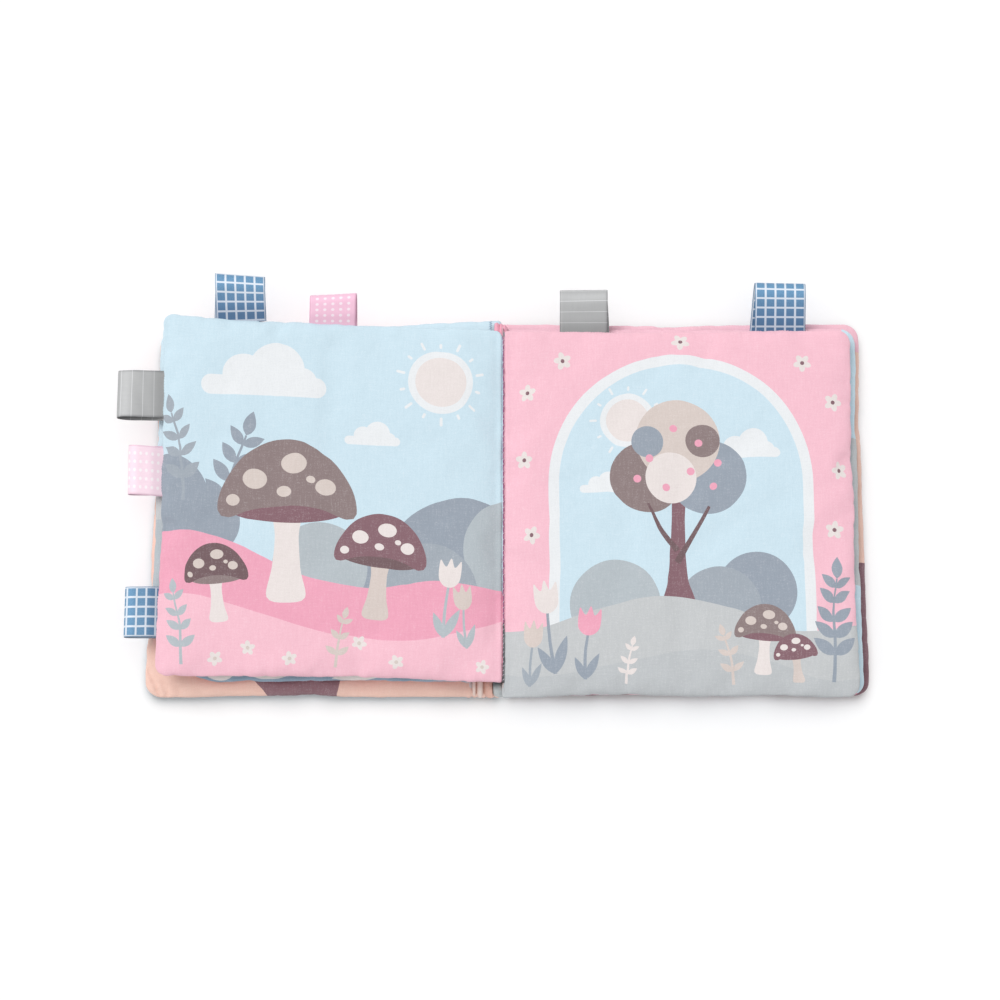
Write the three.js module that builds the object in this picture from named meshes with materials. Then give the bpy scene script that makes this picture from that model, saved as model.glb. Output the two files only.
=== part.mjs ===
// Soft cloth touch-and-feel book for a baby, lying open at its middle spread.
// Six stuffed cloth leaves (three on each side) hang on one sewn spine.
// Each leaf is two printed panels sewn round their edge over a wadding pad;
// folded ribbon loops are caught in the outer seams of the two top leaves.
// Units: millimetres. +X is the reader's right, +Y runs to the head of the
// pages, +Z is up. The origin is the middle of the spine's flat underside.

import * as THREE from 'three';

// ---------------------------------------------------------------- dimensions

const LEAF_HALF = 4.0;          // half of a stuffed leaf's thickness at its crown
const LEVEL_STEP = 8.4;         // from one leaf's mid-plane to the next
const LEVELS = [4.0, 4.0 + LEVEL_STEP, 4.0 + 2 * LEVEL_STEP]; // cover, middle, top

const PANEL_CLOTH = 0.55;       // panel thickness (cloth with its thin backing)
const RIBBON_PLY = 0.6;         // thickness of one ply of ribbon
const RIBBON_HALF_HEIGHT = 3.6; // half of the height a ribbon loop stands open
const TAIL_INTO_SEAM = 2.2;     // ribbon ends held between the two panels

const OUTER_CORNER_R = 7.0;     // rounded corners at the fore edge
const INNER_CORNER_R = 2.0;     // nearly square corners at the spine
const INNER_EDGE_X = 1.3;       // spine edge of every leaf, from the centre line

const SPINE_STRIP_HALF_W = 5.0;
const SPINE_STRIP_T = 0.8;
const BINDING_HALF_T = 0.45;    // folded binding tape standing between the leaves
const BINDING_BOTTOM = 1.15;
const BINDING_TOP = 22.4;

// Cross-section of a leaf from its seam (inset 0) to its crown:
// inset from the seam, half height of the outside, half height of the inside.
const SECTION = [
  [0.0, 1.45, 0.75],
  [1.4, 2.25, 1.62],
  [3.6, 2.98, 2.42],
  [7.5, 3.55, 3.0],
  [13.0, 3.87, 3.32],
  [22.0, LEAF_HALF, LEAF_HALF - PANEL_CLOTH],
];
// Wadding: inset and half height, 0.3 mm inside the panels.
const WADDING = [
  [3.0, 0.9],
  [4.4, 2.1],
  [7.8, 2.68],
  [13.0, 3.0],
  [22.0, 3.13],
];
const FILM_T = 0.22;            // crackly film over the wadding of the middle leaves
const FILM_ROOM = 0.55;         // how much lower the wadding lies under a film
const FILM_INSET = 17.0;

// Leaf outlines at the seam, from above:
// [fore edge head, spine head, spine foot, fore edge foot].
const X = INNER_EDGE_X;
const OUTLINES = {
  left_top: [[-170.6, 95.4], [-X, 88.2], [-X, -88.9], [-170.6, -86.2]],
  left_middle: [[-174.4, 89.6], [-X, 95.8], [-X, -88.7], [-174.8, -88.7]],
  left_cover: [[-175.0, 92.6], [-X, 92.8], [-X, -94.5], [-177.3, -94.5]],
  right_top: [[174.7, 88.4], [X, 88.4], [X, -96.5], [174.6, -96.2]],
  right_middle: [[178.7, 92.1], [X, 92.1], [X, -95.0], [177.4, -94.5]],
  right_cover: [[180.9, 96.1], [X, 96.1], [X, -94.0], [182.0, -93.5]],
};

// Ribbon loops: middle of the seam end [x, y], direction out of the leaf in
// degrees from +X, length outside the seam, width.
const LOOPS = {
  blue_check_loop_left_head: { at: [-131.6, 94.1], out: 92.0, length: 22.0, width: 25.0, leaf: 'left_top', kind: 'blue' },
  pink_dot_loop_left_head: { at: [-85.5, 92.0], out: 90.0, length: 14.6, width: 24.0, leaf: 'left_top', kind: 'pink' },
  grey_stripe_loop_right_head: { at: [40.5, 88.4], out: 90.0, length: 21.4, width: 24.0, leaf: 'right_top', kind: 'grey' },
  blue_check_loop_right_head: { at: [139.2, 88.4], out: 90.0, length: 25.0, width: 25.5, leaf: 'right_top', kind: 'blue' },
  grey_stripe_loop_left_side: { at: [-170.6, 55.6], out: 181.0, length: 22.6, width: 24.0, leaf: 'left_top', kind: 'grey' },
  pink_dot_loop_left_side: { at: [-170.6, 16.0], out: 180.0, length: 16.0, width: 25.0, leaf: 'left_top', kind: 'pink' },
  blue_check_loop_left_side: { at: [-170.6, -54.4], out: 180.0, length: 16.0, width: 25.0, leaf: 'left_top', kind: 'blue' },
};

// -------------------------------------------------------------------- colours

const C = {
  skyBlue: 0xd4eaf5,
  pagePink: 0xfbc4d3,
  peach: 0xf3c6b6,
  cream: 0xf3e9e2,
  slate: 0xa9b4c0,
  plum: 0x8d6a73,
  wadding: 0xf6f5f1,
  film: 0xdfe6ea,
  ribbonBlue: 0x6e9bc3,
  ribbonPink: 0xf4bed7,
  ribbonGrey: 0xbebec2,
};

function fabric(color, roughness = 0.9) {
  return new THREE.MeshStandardMaterial({ color, roughness, metalness: 0 });
}

// ------------------------------------------------------------ outline helpers

// Moves every side of a convex quadrilateral inwards by d.
function insetQuad(quad, d) {
  const n = quad.length;
  const area = quad.reduce((s, p, i) => {
    const q = quad[(i + 1) % n];
    return s + p[0] * q[1] - q[0] * p[1];
  }, 0);
  const turn = area > 0 ? 1 : -1;
  const lines = quad.map((p, i) => {
    const q = quad[(i + 1) % n];
    const dx = q[0] - p[0];
    const dy = q[1] - p[1];
    const len = Math.hypot(dx, dy);
    const nx = (-dy / len) * turn;
    const ny = (dx / len) * turn;
    return { px: p[0] + nx * d, py: p[1] + ny * d, dx: dx / len, dy: dy / len };
  });
  return quad.map((_, i) => {
    const a = lines[(i + n - 1) % n];
    const b = lines[i];
    const det = a.dx * b.dy - a.dy * b.dx;
    const t = ((b.px - a.px) * b.dy - (b.py - a.py) * b.dx) / det;
    return [a.px + a.dx * t, a.py + a.dy * t];
  });
}

// A closed ring round a leaf at an inset: rounded at the fore edge, almost
// square at the spine. Every ring of one leaf has the same number of points
// and runs anticlockwise seen from above.
function ring(quad, inset) {
  const corners = insetQuad(quad, inset);
  const radii = [OUTER_CORNER_R, INNER_CORNER_R, INNER_CORNER_R, OUTER_CORNER_R];
  const steps = [6, 2, 2, 6];
  const points = [];
  corners.forEach((c, i) => {
    const before = corners[(i + 3) % 4];
    const after = corners[(i + 1) % 4];
    const a = new THREE.Vector2(before[0] - c[0], before[1] - c[1]).normalize();
    const b = new THREE.Vector2(after[0] - c[0], after[1] - c[1]).normalize();
    const half = Math.acos(THREE.MathUtils.clamp(a.dot(b), -1, 1)) / 2;
    const r = Math.max(radii[i] - inset * 0.6, 1.0);
    const reach = r / Math.tan(half);
    const start = new THREE.Vector2(c[0], c[1]).addScaledVector(a, reach);
    const end = new THREE.Vector2(c[0], c[1]).addScaledVector(b, reach);
    const mid = a.clone().add(b).normalize();
    const centre = new THREE.Vector2(c[0], c[1]).addScaledVector(mid, r / Math.sin(half));
    let a0 = Math.atan2(start.y - centre.y, start.x - centre.x);
    let a1 = Math.atan2(end.y - centre.y, end.x - centre.x);
    while (a1 - a0 > Math.PI) a1 -= 2 * Math.PI;
    while (a1 - a0 < -Math.PI) a1 += 2 * Math.PI;
    for (let k = 0; k <= steps[i]; k += 1) {
      const t = a0 + ((a1 - a0) * k) / steps[i];
      points.push([centre.x + r * Math.cos(t), centre.y + r * Math.sin(t)]);
    }
  });
  const area = points.reduce((s, p, i) => {
    const q = points[(i + 1) % points.length];
    return s + p[0] * q[1] - q[0] * p[1];
  }, 0);
  return area > 0 ? points : points.reverse();
}

// Joins rings of equal length, listed so that the surface between two
// neighbours faces outwards, and closes both ends with a fan.
function loft(rings) {
  const n = rings[0].length;
  const position = [];
  const index = [];
  rings.forEach((r) => r.forEach((p) => position.push(p[0], p[1], p[2])));
  for (let k = 0; k + 1 < rings.length; k += 1) {
    for (let i = 0; i < n; i += 1) {
      const a = k * n + i;
      const b = k * n + ((i + 1) % n);
      const c = (k + 1) * n + i;
      const d = (k + 1) * n + ((i + 1) % n);
      index.push(a, b, d, a, d, c);
    }
  }
  const cap = (k, up) => {
    const r = rings[k];
    const centre = position.length / 3;
    const sx = r.reduce((s, p) => s + p[0], 0) / n;
    const sy = r.reduce((s, p) => s + p[1], 0) / n;
    position.push(sx, sy, r[0][2]);
    for (let i = 0; i < n; i += 1) {
      const a = k * n + i;
      const b = k * n + ((i + 1) % n);
      if (up) index.push(a, b, centre);
      else index.push(b, a, centre);
    }
  };
  cap(0, false);
  cap(rings.length - 1, true);
  const g = new THREE.BufferGeometry();
  g.setAttribute('position', new THREE.Float32BufferAttribute(position, 3));
  g.setIndex(index);
  g.computeVertexNormals();
  return g;
}

function lift(points, z) {
  return points.map((p) => [p[0], p[1], z]);
}

// A panel that faces up (side 1) or down (side -1): a shallow dish of cloth,
// from the middle of its inner face, out round the seam, to the middle of its
// outer face.
function panelGeometry(quad, mid, side) {
  const inner = [...SECTION].reverse().map(([d, , g]) => lift(ring(quad, d), mid + side * g));
  const outer = SECTION.map(([d, h]) => lift(ring(quad, d), mid + side * h));
  const rings = [...inner, ...outer];
  return loft(side > 0 ? rings : rings.reverse());
}

function waddingGeometry(quad, mid, film) {
  const top = WADDING.map(([d, h]) => [d, film && h > 2.4 ? h - FILM_ROOM : h]);
  const rings = [
    ...[...WADDING].reverse().map(([d, h]) => lift(ring(quad, d), mid - h)),
    ...top.map(([d, h]) => lift(ring(quad, d), mid + h)),
  ];
  return loft(rings);
}

function filmGeometry(quad, mid) {
  const bottom = mid + WADDING[WADDING.length - 1][1] - FILM_ROOM + 0.28;
  const outline = ring(quad, FILM_INSET);
  return loft([lift(outline, bottom), lift(outline, bottom + FILM_T)]);
}

// ------------------------------------------------------------- ribbon helpers

// One ribbon folded in half: its two ends lie together in the seam, and it
// stands open in a teardrop beyond the leaf's edge. The profile lies in the
// X-Y plane of the geometry, and the ribbon's width runs along its Z.
function loopGeometry(length, width) {
  const H = RIBBON_HALF_HEIGHT;
  const L = length;
  const upper = [
    [-TAIL_INTO_SEAM, 0.4],
    [1.0, 0.45],
    [2.4, 1.7],
    [4.2, 2.9],
    [6.4, 3.45],
    [Math.max(L - 5.5, 8.0), H],
    [L - 2.6, 3.2],
    [L - 1.0, 2.1],
    [L, 0.7],
  ];
  const outline = [...upper.map(([u, w]) => [u, -w]), ...[...upper].reverse()];
  const inside = [
    [3.1, 0],
    [4.7, 2.15],
    [6.6, 2.84],
    [Math.max(L - 5.7, 7.9), H - RIBBON_PLY],
    [L - 3.0, 2.62],
    [L - 1.55, 1.7],
    [L - 0.62, 0.5],
  ];
  const hole = [...inside, ...[...inside].reverse().slice(0, -1).map(([u, w]) => [u, -w])];
  const shape = new THREE.Shape(outline.map(([u, w]) => new THREE.Vector2(u, w)));
  shape.holes.push(new THREE.Path(hole.map(([u, w]) => new THREE.Vector2(u, w))));
  const g = new THREE.ExtrudeGeometry(shape, { depth: width, bevelEnabled: false, steps: 1 });
  g.translate(0, 0, -width / 2);
  return g;
}

// ------------------------------------------------------------------- assembly

const group = new THREE.Group();

function addMesh(parent, name, geometry, material) {
  const mesh = new THREE.Mesh(geometry, material);
  mesh.name = name;
  parent.add(mesh);
  return mesh;
}

function addLeaf(key, name, level, colours, film) {
  const leaf = new THREE.Group();
  const quad = OUTLINES[key];
  const mid = LEVELS[level];
  addMesh(leaf, `${name}_upper_panel`, panelGeometry(quad, mid, 1), fabric(colours[0]));
  addMesh(leaf, `${name}_lower_panel`, panelGeometry(quad, mid, -1), fabric(colours[1]));
  addMesh(leaf, `${name}_wadding`, waddingGeometry(quad, mid, film), fabric(C.wadding, 1));
  if (film) {
    addMesh(
      leaf,
      `${name}_crackle_film`,
      filmGeometry(quad, mid),
      new THREE.MeshStandardMaterial({ color: C.film, roughness: 0.35, metalness: 0 }),
    );
  }
  group.add(leaf);
}

addLeaf('left_cover', 'left_cover', 0, [C.peach, C.slate], false);
addLeaf('left_middle', 'left_middle_leaf', 1, [C.slate, C.peach], true);
addLeaf('left_top', 'left_top_leaf', 2, [C.skyBlue, C.cream], false);
addLeaf('right_cover', 'right_cover', 0, [C.pagePink, C.plum], false);
addLeaf('right_middle', 'right_middle_leaf', 1, [C.skyBlue, C.peach], true);
addLeaf('right_top', 'right_top_leaf', 2, [C.pagePink, C.skyBlue], false);

const ribbonColour = { blue: C.ribbonBlue, pink: C.ribbonPink, grey: C.ribbonGrey };
for (const [name, loop] of Object.entries(LOOPS)) {
  const place = new THREE.Group();
  place.position.set(loop.at[0], loop.at[1], LEVELS[2]);
  place.rotation.z = THREE.MathUtils.degToRad(loop.out);
  const mesh = addMesh(
    place,
    name,
    loopGeometry(loop.length, loop.width),
    fabric(ribbonColour[loop.kind], loop.kind === 'grey' ? 0.45 : 0.7),
  );
  mesh.rotation.x = Math.PI / 2;
  group.add(place);
}

// The cover's own spine strip, flat on the table, and the folded binding tape
// that stands on it, to which the spine edges of all six leaves are sewn.
const strip = addMesh(
  group,
  'spine_cover_strip',
  new THREE.BoxGeometry(2 * SPINE_STRIP_HALF_W, 188, SPINE_STRIP_T),
  fabric(C.peach),
);
strip.position.set(0, 0, SPINE_STRIP_T / 2);

const tape = addMesh(
  group,
  'spine_binding_tape',
  new THREE.BoxGeometry(2 * BINDING_HALF_T, 186, BINDING_TOP - BINDING_BOTTOM),
  fabric(C.pagePink),
);
tape.position.set(0, -1.5, (BINDING_TOP + BINDING_BOTTOM) / 2);

group.updateMatrixWorld(true);

export default group;
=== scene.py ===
import bpy
import math
import numpy as np
from mathutils import Vector, Matrix, kdtree
from mathutils.geometry import delaunay_2d_cdt


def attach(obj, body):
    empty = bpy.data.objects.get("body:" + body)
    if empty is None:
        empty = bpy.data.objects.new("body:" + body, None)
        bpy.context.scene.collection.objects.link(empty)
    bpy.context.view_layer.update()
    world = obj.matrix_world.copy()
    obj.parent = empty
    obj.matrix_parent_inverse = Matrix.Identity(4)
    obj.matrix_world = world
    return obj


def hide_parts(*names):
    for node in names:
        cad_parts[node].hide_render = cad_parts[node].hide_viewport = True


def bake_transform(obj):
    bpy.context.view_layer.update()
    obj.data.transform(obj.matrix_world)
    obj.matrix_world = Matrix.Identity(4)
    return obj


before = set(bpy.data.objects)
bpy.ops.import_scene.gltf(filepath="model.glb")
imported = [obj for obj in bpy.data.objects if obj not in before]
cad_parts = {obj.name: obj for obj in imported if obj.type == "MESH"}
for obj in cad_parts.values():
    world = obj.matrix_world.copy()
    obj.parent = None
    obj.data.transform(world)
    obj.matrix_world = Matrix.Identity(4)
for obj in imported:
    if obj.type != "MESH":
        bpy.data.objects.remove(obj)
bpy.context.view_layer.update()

MM = 0.001
scene = bpy.context.scene

# ---------------------------------------------------------------- sizes (mm)
LEVELS = {"cover": 4.0, "middle": 12.4, "top": 20.8}
HINGE_Z = 25.3
HALF = 4.0

# [fore head, spine head, spine foot, fore foot]
OUTLINES = {
    "left_top": [(-170.6, 97.1), (-0.30, 88.2), (-0.30, -88.9), (-170.6, -86.2)],
    "left_middle": [(-172.7, 89.6), (-0.55, 95.8), (-0.55, -87.5), (-175.2, -88.8)],
    "left_cover": [(-173.6, 92.6), (-0.55, 92.8), (-0.55, -94.5), (-177.6, -94.5)],
    "right_top": [(173.9, 88.4), (0.72, 88.4), (0.72, -96.5), (174.9, -96.2)],
    "right_middle": [(177.7, 91.4), (0.85, 91.4), (0.85, -95.0), (178.2, -94.5)],
    "right_cover": [(180.4, 95.9), (0.85, 95.9), (0.85, -94.0), (182.0, -93.5)],
}

# ------------------------------------------------------------------- colours
RGB = {
    "sky": (211, 234, 246), "sky_light": (222, 242, 250), "white": (241, 244, 247),
    "pink": (253, 199, 214), "rose": (246, 172, 195), "ground": (203, 206, 208),
    "slate": (158, 168, 181), "mist": (187, 196, 202), "sand": (222, 209, 203),
    "taupe": (148, 131, 131), "plum": (141, 106, 115), "cream": (240, 231, 229),
    "peach": (243, 199, 183), "lake": (150, 172, 192), "bark": (122, 98, 102),
    # the last two colours below are painted light: lighter copies of peach and plum, used on the left cover's page so
    # that its strip in the shade of the leaves above looks bright
    "leafgrey": (168, 177, 187), "dove": (197, 201, 204), "peach_lit": (253, 212, 197),
    "plum_lit": (149, 114, 122),
}


def lin(rgb):
    out = []
    for c in rgb[:3]:
        c = c / 255.0
        out.append(c / 12.92 if c <= 0.04045 else ((c + 0.055) / 1.055) ** 2.4)
    return tuple(out)


def lin4(rgb):
    return lin(rgb) + (1.0,)


# ------------------------------------------------------------ small helpers
def waves(seed, n, shortest, longest):
    """A smooth wandering function of one length, rms 1."""
    rng = np.random.default_rng(seed)
    lam = np.exp(rng.uniform(math.log(shortest), math.log(longest), n))
    ph = rng.uniform(0, 2 * math.pi, n)
    am = rng.uniform(0.5, 1.0, n)
    am = am / math.sqrt((am ** 2).sum() / 2)

    def f(s):
        s = np.asarray(s, float)
        out = np.zeros_like(s)
        for a, l, p in zip(am, lam, ph):
            out = out + a * np.sin(2 * math.pi * s / l + p)
        return out
    return f


def waves2(seed, n, shortest, longest):
    """The same over a plane."""
    rng = np.random.default_rng(seed)
    lam = np.exp(rng.uniform(math.log(shortest), math.log(longest), n))
    th = rng.uniform(0, math.pi, n)
    ph = rng.uniform(0, 2 * math.pi, n)

    def f(x, y):
        out = np.zeros_like(np.asarray(x, float))
        for l, t, p in zip(lam, th, ph):
            out = out + np.sin(2 * math.pi * (x * math.cos(t) + y * math.sin(t)) / l + p)
        return out / math.sqrt(n / 2)
    return f


def smoothstep(a, b, x):
    t = np.clip((np.asarray(x, float) - a) / (b - a), 0, 1)
    return t * t * (3 - 2 * t)


def cubic_weights(f):
    return (-.5 * f + f * f - .5 * f ** 3, 1 - 2.5 * f * f + 1.5 * f ** 3,
            .5 * f + 2 * f * f - 1.5 * f ** 3, -.5 * f * f + .5 * f ** 3)


def cubic_sample(A, fx, fy):
    """Catmull-Rom sampling of grid A[row, column] at fractions fx, fy in 0..1."""
    ny, nx = A.shape[0] - 1, A.shape[1] - 1
    x = np.clip(fx, 0, 1) * nx
    y = np.clip(fy, 0, 1) * ny
    i = np.minimum(np.floor(x).astype(int), nx - 1)
    j = np.minimum(np.floor(y).astype(int), ny - 1)
    wx, wy = cubic_weights(x - i), cubic_weights(y - j)
    out = 0.0
    for b in range(4):
        jj = np.clip(j + b - 1, 0, ny)
        row = 0.0
        for a in range(4):
            ii = np.clip(i + a - 1, 0, nx)
            row = row + wx[a] * A[jj, ii]
        out = out + wy[b] * row
    return out


def new_object(name, verts, faces, material=None, smooth=True):
    """verts in millimetres."""
    me = bpy.data.meshes.new(name)
    me.from_pydata((np.asarray(verts, float) * MM).tolist(), [], faces)
    me.validate(clean_customdata=False)
    me.update()
    if smooth:
        me.polygons.foreach_set("use_smooth", [True] * len(me.polygons))
    ob = bpy.data.objects.new(name, me)
    scene.collection.objects.link(ob)
    if material is not None:
        me.materials.append(material)
    return ob


def set_uv(ob, name, uv_of_vertex):
    """uv_of_vertex: one (u, v) in mm for each vertex; kept in hundredths."""
    me = ob.data
    layer = me.uv_layers.new(name=name)
    loops = np.zeros(len(me.loops), int)
    me.loops.foreach_get("vertex_index", loops)
    uv = np.asarray(uv_of_vertex, float)[loops] * 0.01
    layer.data.foreach_set("uv", uv.reshape(-1).astype(np.float32))


def paint(ob, colours):
    """One colour for the whole piece, or one for each face, as a corner attribute."""
    me = ob.data
    att = me.color_attributes.new(name="print", type="FLOAT_COLOR", domain="CORNER")
    n = len(me.loops)
    if isinstance(colours, tuple):
        data = np.tile(np.array(lin4(colours)), (n, 1))
    else:
        data = np.zeros((n, 4))
        colours = np.asarray(colours, float)
        start = np.zeros(len(me.polygons), int)
        total = np.zeros(len(me.polygons), int)
        me.polygons.foreach_get("loop_start", start)
        me.polygons.foreach_get("loop_total", total)
        data[:] = np.repeat(colours, total, axis=0)
    att.data.foreach_set("color", data.reshape(-1).astype(np.float32))


# =============================================================== cloth simulation
def simulate_pillow(seed, W=0.174, H=0.186, nx=50, ny=53):
    """Two panels sewn round the edge, blown up a little. Gives, for the upper and
    the lower panel, how far each point slid sideways (mm) and how high it stands
    against the mean at that distance from the seam."""
    S = 10.0
    x = np.linspace(-W / 2, W / 2, nx + 1)
    y = np.linspace(-H / 2, H / 2, ny + 1)
    X, Y = np.meshgrid(x, y)
    rng = np.random.default_rng(seed)
    d = np.minimum(np.minimum(X + W / 2, W / 2 - X), np.minimum(Y + H / 2, H / 2 - Y))
    coarse = rng.normal(0, 1, (16, 16))
    coarse2 = rng.normal(0, 1, (16, 16))
    fx, fy = (X + W / 2) / W, (Y + H / 2) / H
    n1, n2 = cubic_sample(coarse, fx, fy), cubic_sample(coarse2, fx, fy)
    dome = 0.0018 * (1 - np.exp(-d / 0.005))
    edge = d < 1e-6
    z_up = np.where(edge, 0, dome + 0.0004 * n1)
    z_lo = np.where(edge, 0, -dome + 0.0004 * n2)
    n = (nx + 1) * (ny + 1)
    idx = np.arange(n).reshape(ny + 1, nx + 1)
    inner = ~edge.reshape(-1)
    low = np.arange(n)
    low[inner] = n + np.arange(int(inner.sum()))
    low = low.reshape(ny + 1, nx + 1)
    V = np.concatenate([
        np.stack([X, Y, z_up], -1).reshape(-1, 3),
        np.stack([X, Y, z_lo], -1).reshape(-1, 3)[inner]]) * S
    F = []
    for j in range(ny):
        for i in range(nx):
            F.append([int(k) for k in (idx[j, i], idx[j, i + 1], idx[j + 1, i + 1], idx[j + 1, i])])
            F.append([int(k) for k in (low[j, i], low[j + 1, i], low[j + 1, i + 1], low[j, i + 1])])
    me = bpy.data.meshes.new("sim")
    me.from_pydata(V.tolist(), [], F)
    me.update()
    ob = bpy.data.objects.new("sim", me)
    scene.collection.objects.link(ob)
    g = ob.vertex_groups.new(name="seam")
    g.add([int(k) for k in np.arange(n)[~inner]], 1.0, "REPLACE")
    m = ob.modifiers.new("Cloth", "CLOTH")
    s = m.settings
    s.quality = 5
    s.mass = 0.3
    s.tension_stiffness = s.compression_stiffness = 80
    s.shear_stiffness = 27
    s.bending_stiffness = 0.25
    s.tension_damping = s.compression_damping = s.shear_damping = 5
    s.bending_damping = 0.5
    s.air_damping = 2
    s.use_pressure = True
    s.uniform_pressure_force = 0.7
    s.vertex_group_shrink = "seam"
    s.shrink_min = -0.022
    s.shrink_max = 0.0
    s.effector_weights.gravity = 0
    m.collision_settings.use_collision = False
    frames = 20
    m.point_cache.frame_start = 1
    m.point_cache.frame_end = frames + 1
    for f in range(1, frames + 1):
        scene.frame_set(f)
    ev = ob.evaluated_get(bpy.context.evaluated_depsgraph_get())
    co = np.zeros(len(ev.data.vertices) * 3)
    ev.data.vertices.foreach_get("co", co)
    co = co.reshape(-1, 3) / S
    bpy.data.objects.remove(ob)
    bpy.data.meshes.remove(me)
    scene.frame_set(1)
    ring = np.minimum(np.minimum(np.arange(nx + 1)[None, :], nx - np.arange(nx + 1)[None, :]),
                      np.minimum(np.arange(ny + 1)[:, None], ny - np.arange(ny + 1)[:, None]))
    out = []
    for rows in (idx, low):
        P = co[rows]
        width = (P[15:-15, -1, 0] - P[15:-15, 0, 0]).mean()
        height = (P[-1, 15:-15, 1] - P[0, 15:-15, 1]).mean()
        dx = (P[..., 0] * W / width - X) * 1000
        dy = (P[..., 1] * H / height - Y) * 1000
        z = np.abs(P[..., 2])
        r = np.ones_like(z)
        for k in range(1, ring.max() + 1):
            at = ring == k
            mid = at & (np.abs(X) < W / 2 - 0.025) | at & (np.abs(Y) < H / 2 - 0.025)
            mean = z[mid].mean() if mid.any() else z[at].mean()
            r[at] = z[at] / max(mean, 1e-4)
        r[0, 1:-1], r[-1, 1:-1] = r[1, 1:-1], r[-2, 1:-1]
        r[:, 0], r[:, -1] = r[:, 1], r[:, -2]
        r = np.clip(r, 0.6, 1.4)
        k3 = np.array([0.25, 0.5, 0.25])
        for _ in range(1):
            pad = np.pad(r, 1, mode="edge")
            pad = pad[:, :-2] * k3[0] + pad[:, 1:-1] * k3[1] + pad[:, 2:] * k3[2]
            r = pad[:-2] * k3[0] + pad[1:-1] * k3[1] + pad[2:] * k3[2]
        out.append((np.clip(dx, -1.6, 1.6), np.clip(dy, -1.6, 1.6), r))
    return out


SIMS = [simulate_pillow(s) for s in (3, 8, 21)]


# ==================================================================== leaf shape
def edge_profile(d, reach=4.0, power=0.55):
    """Half height of a stuffed leaf at distance d from its seam."""
    return HALF * (1 - np.exp(-np.maximum(d, 0) / reach)) ** power


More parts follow.
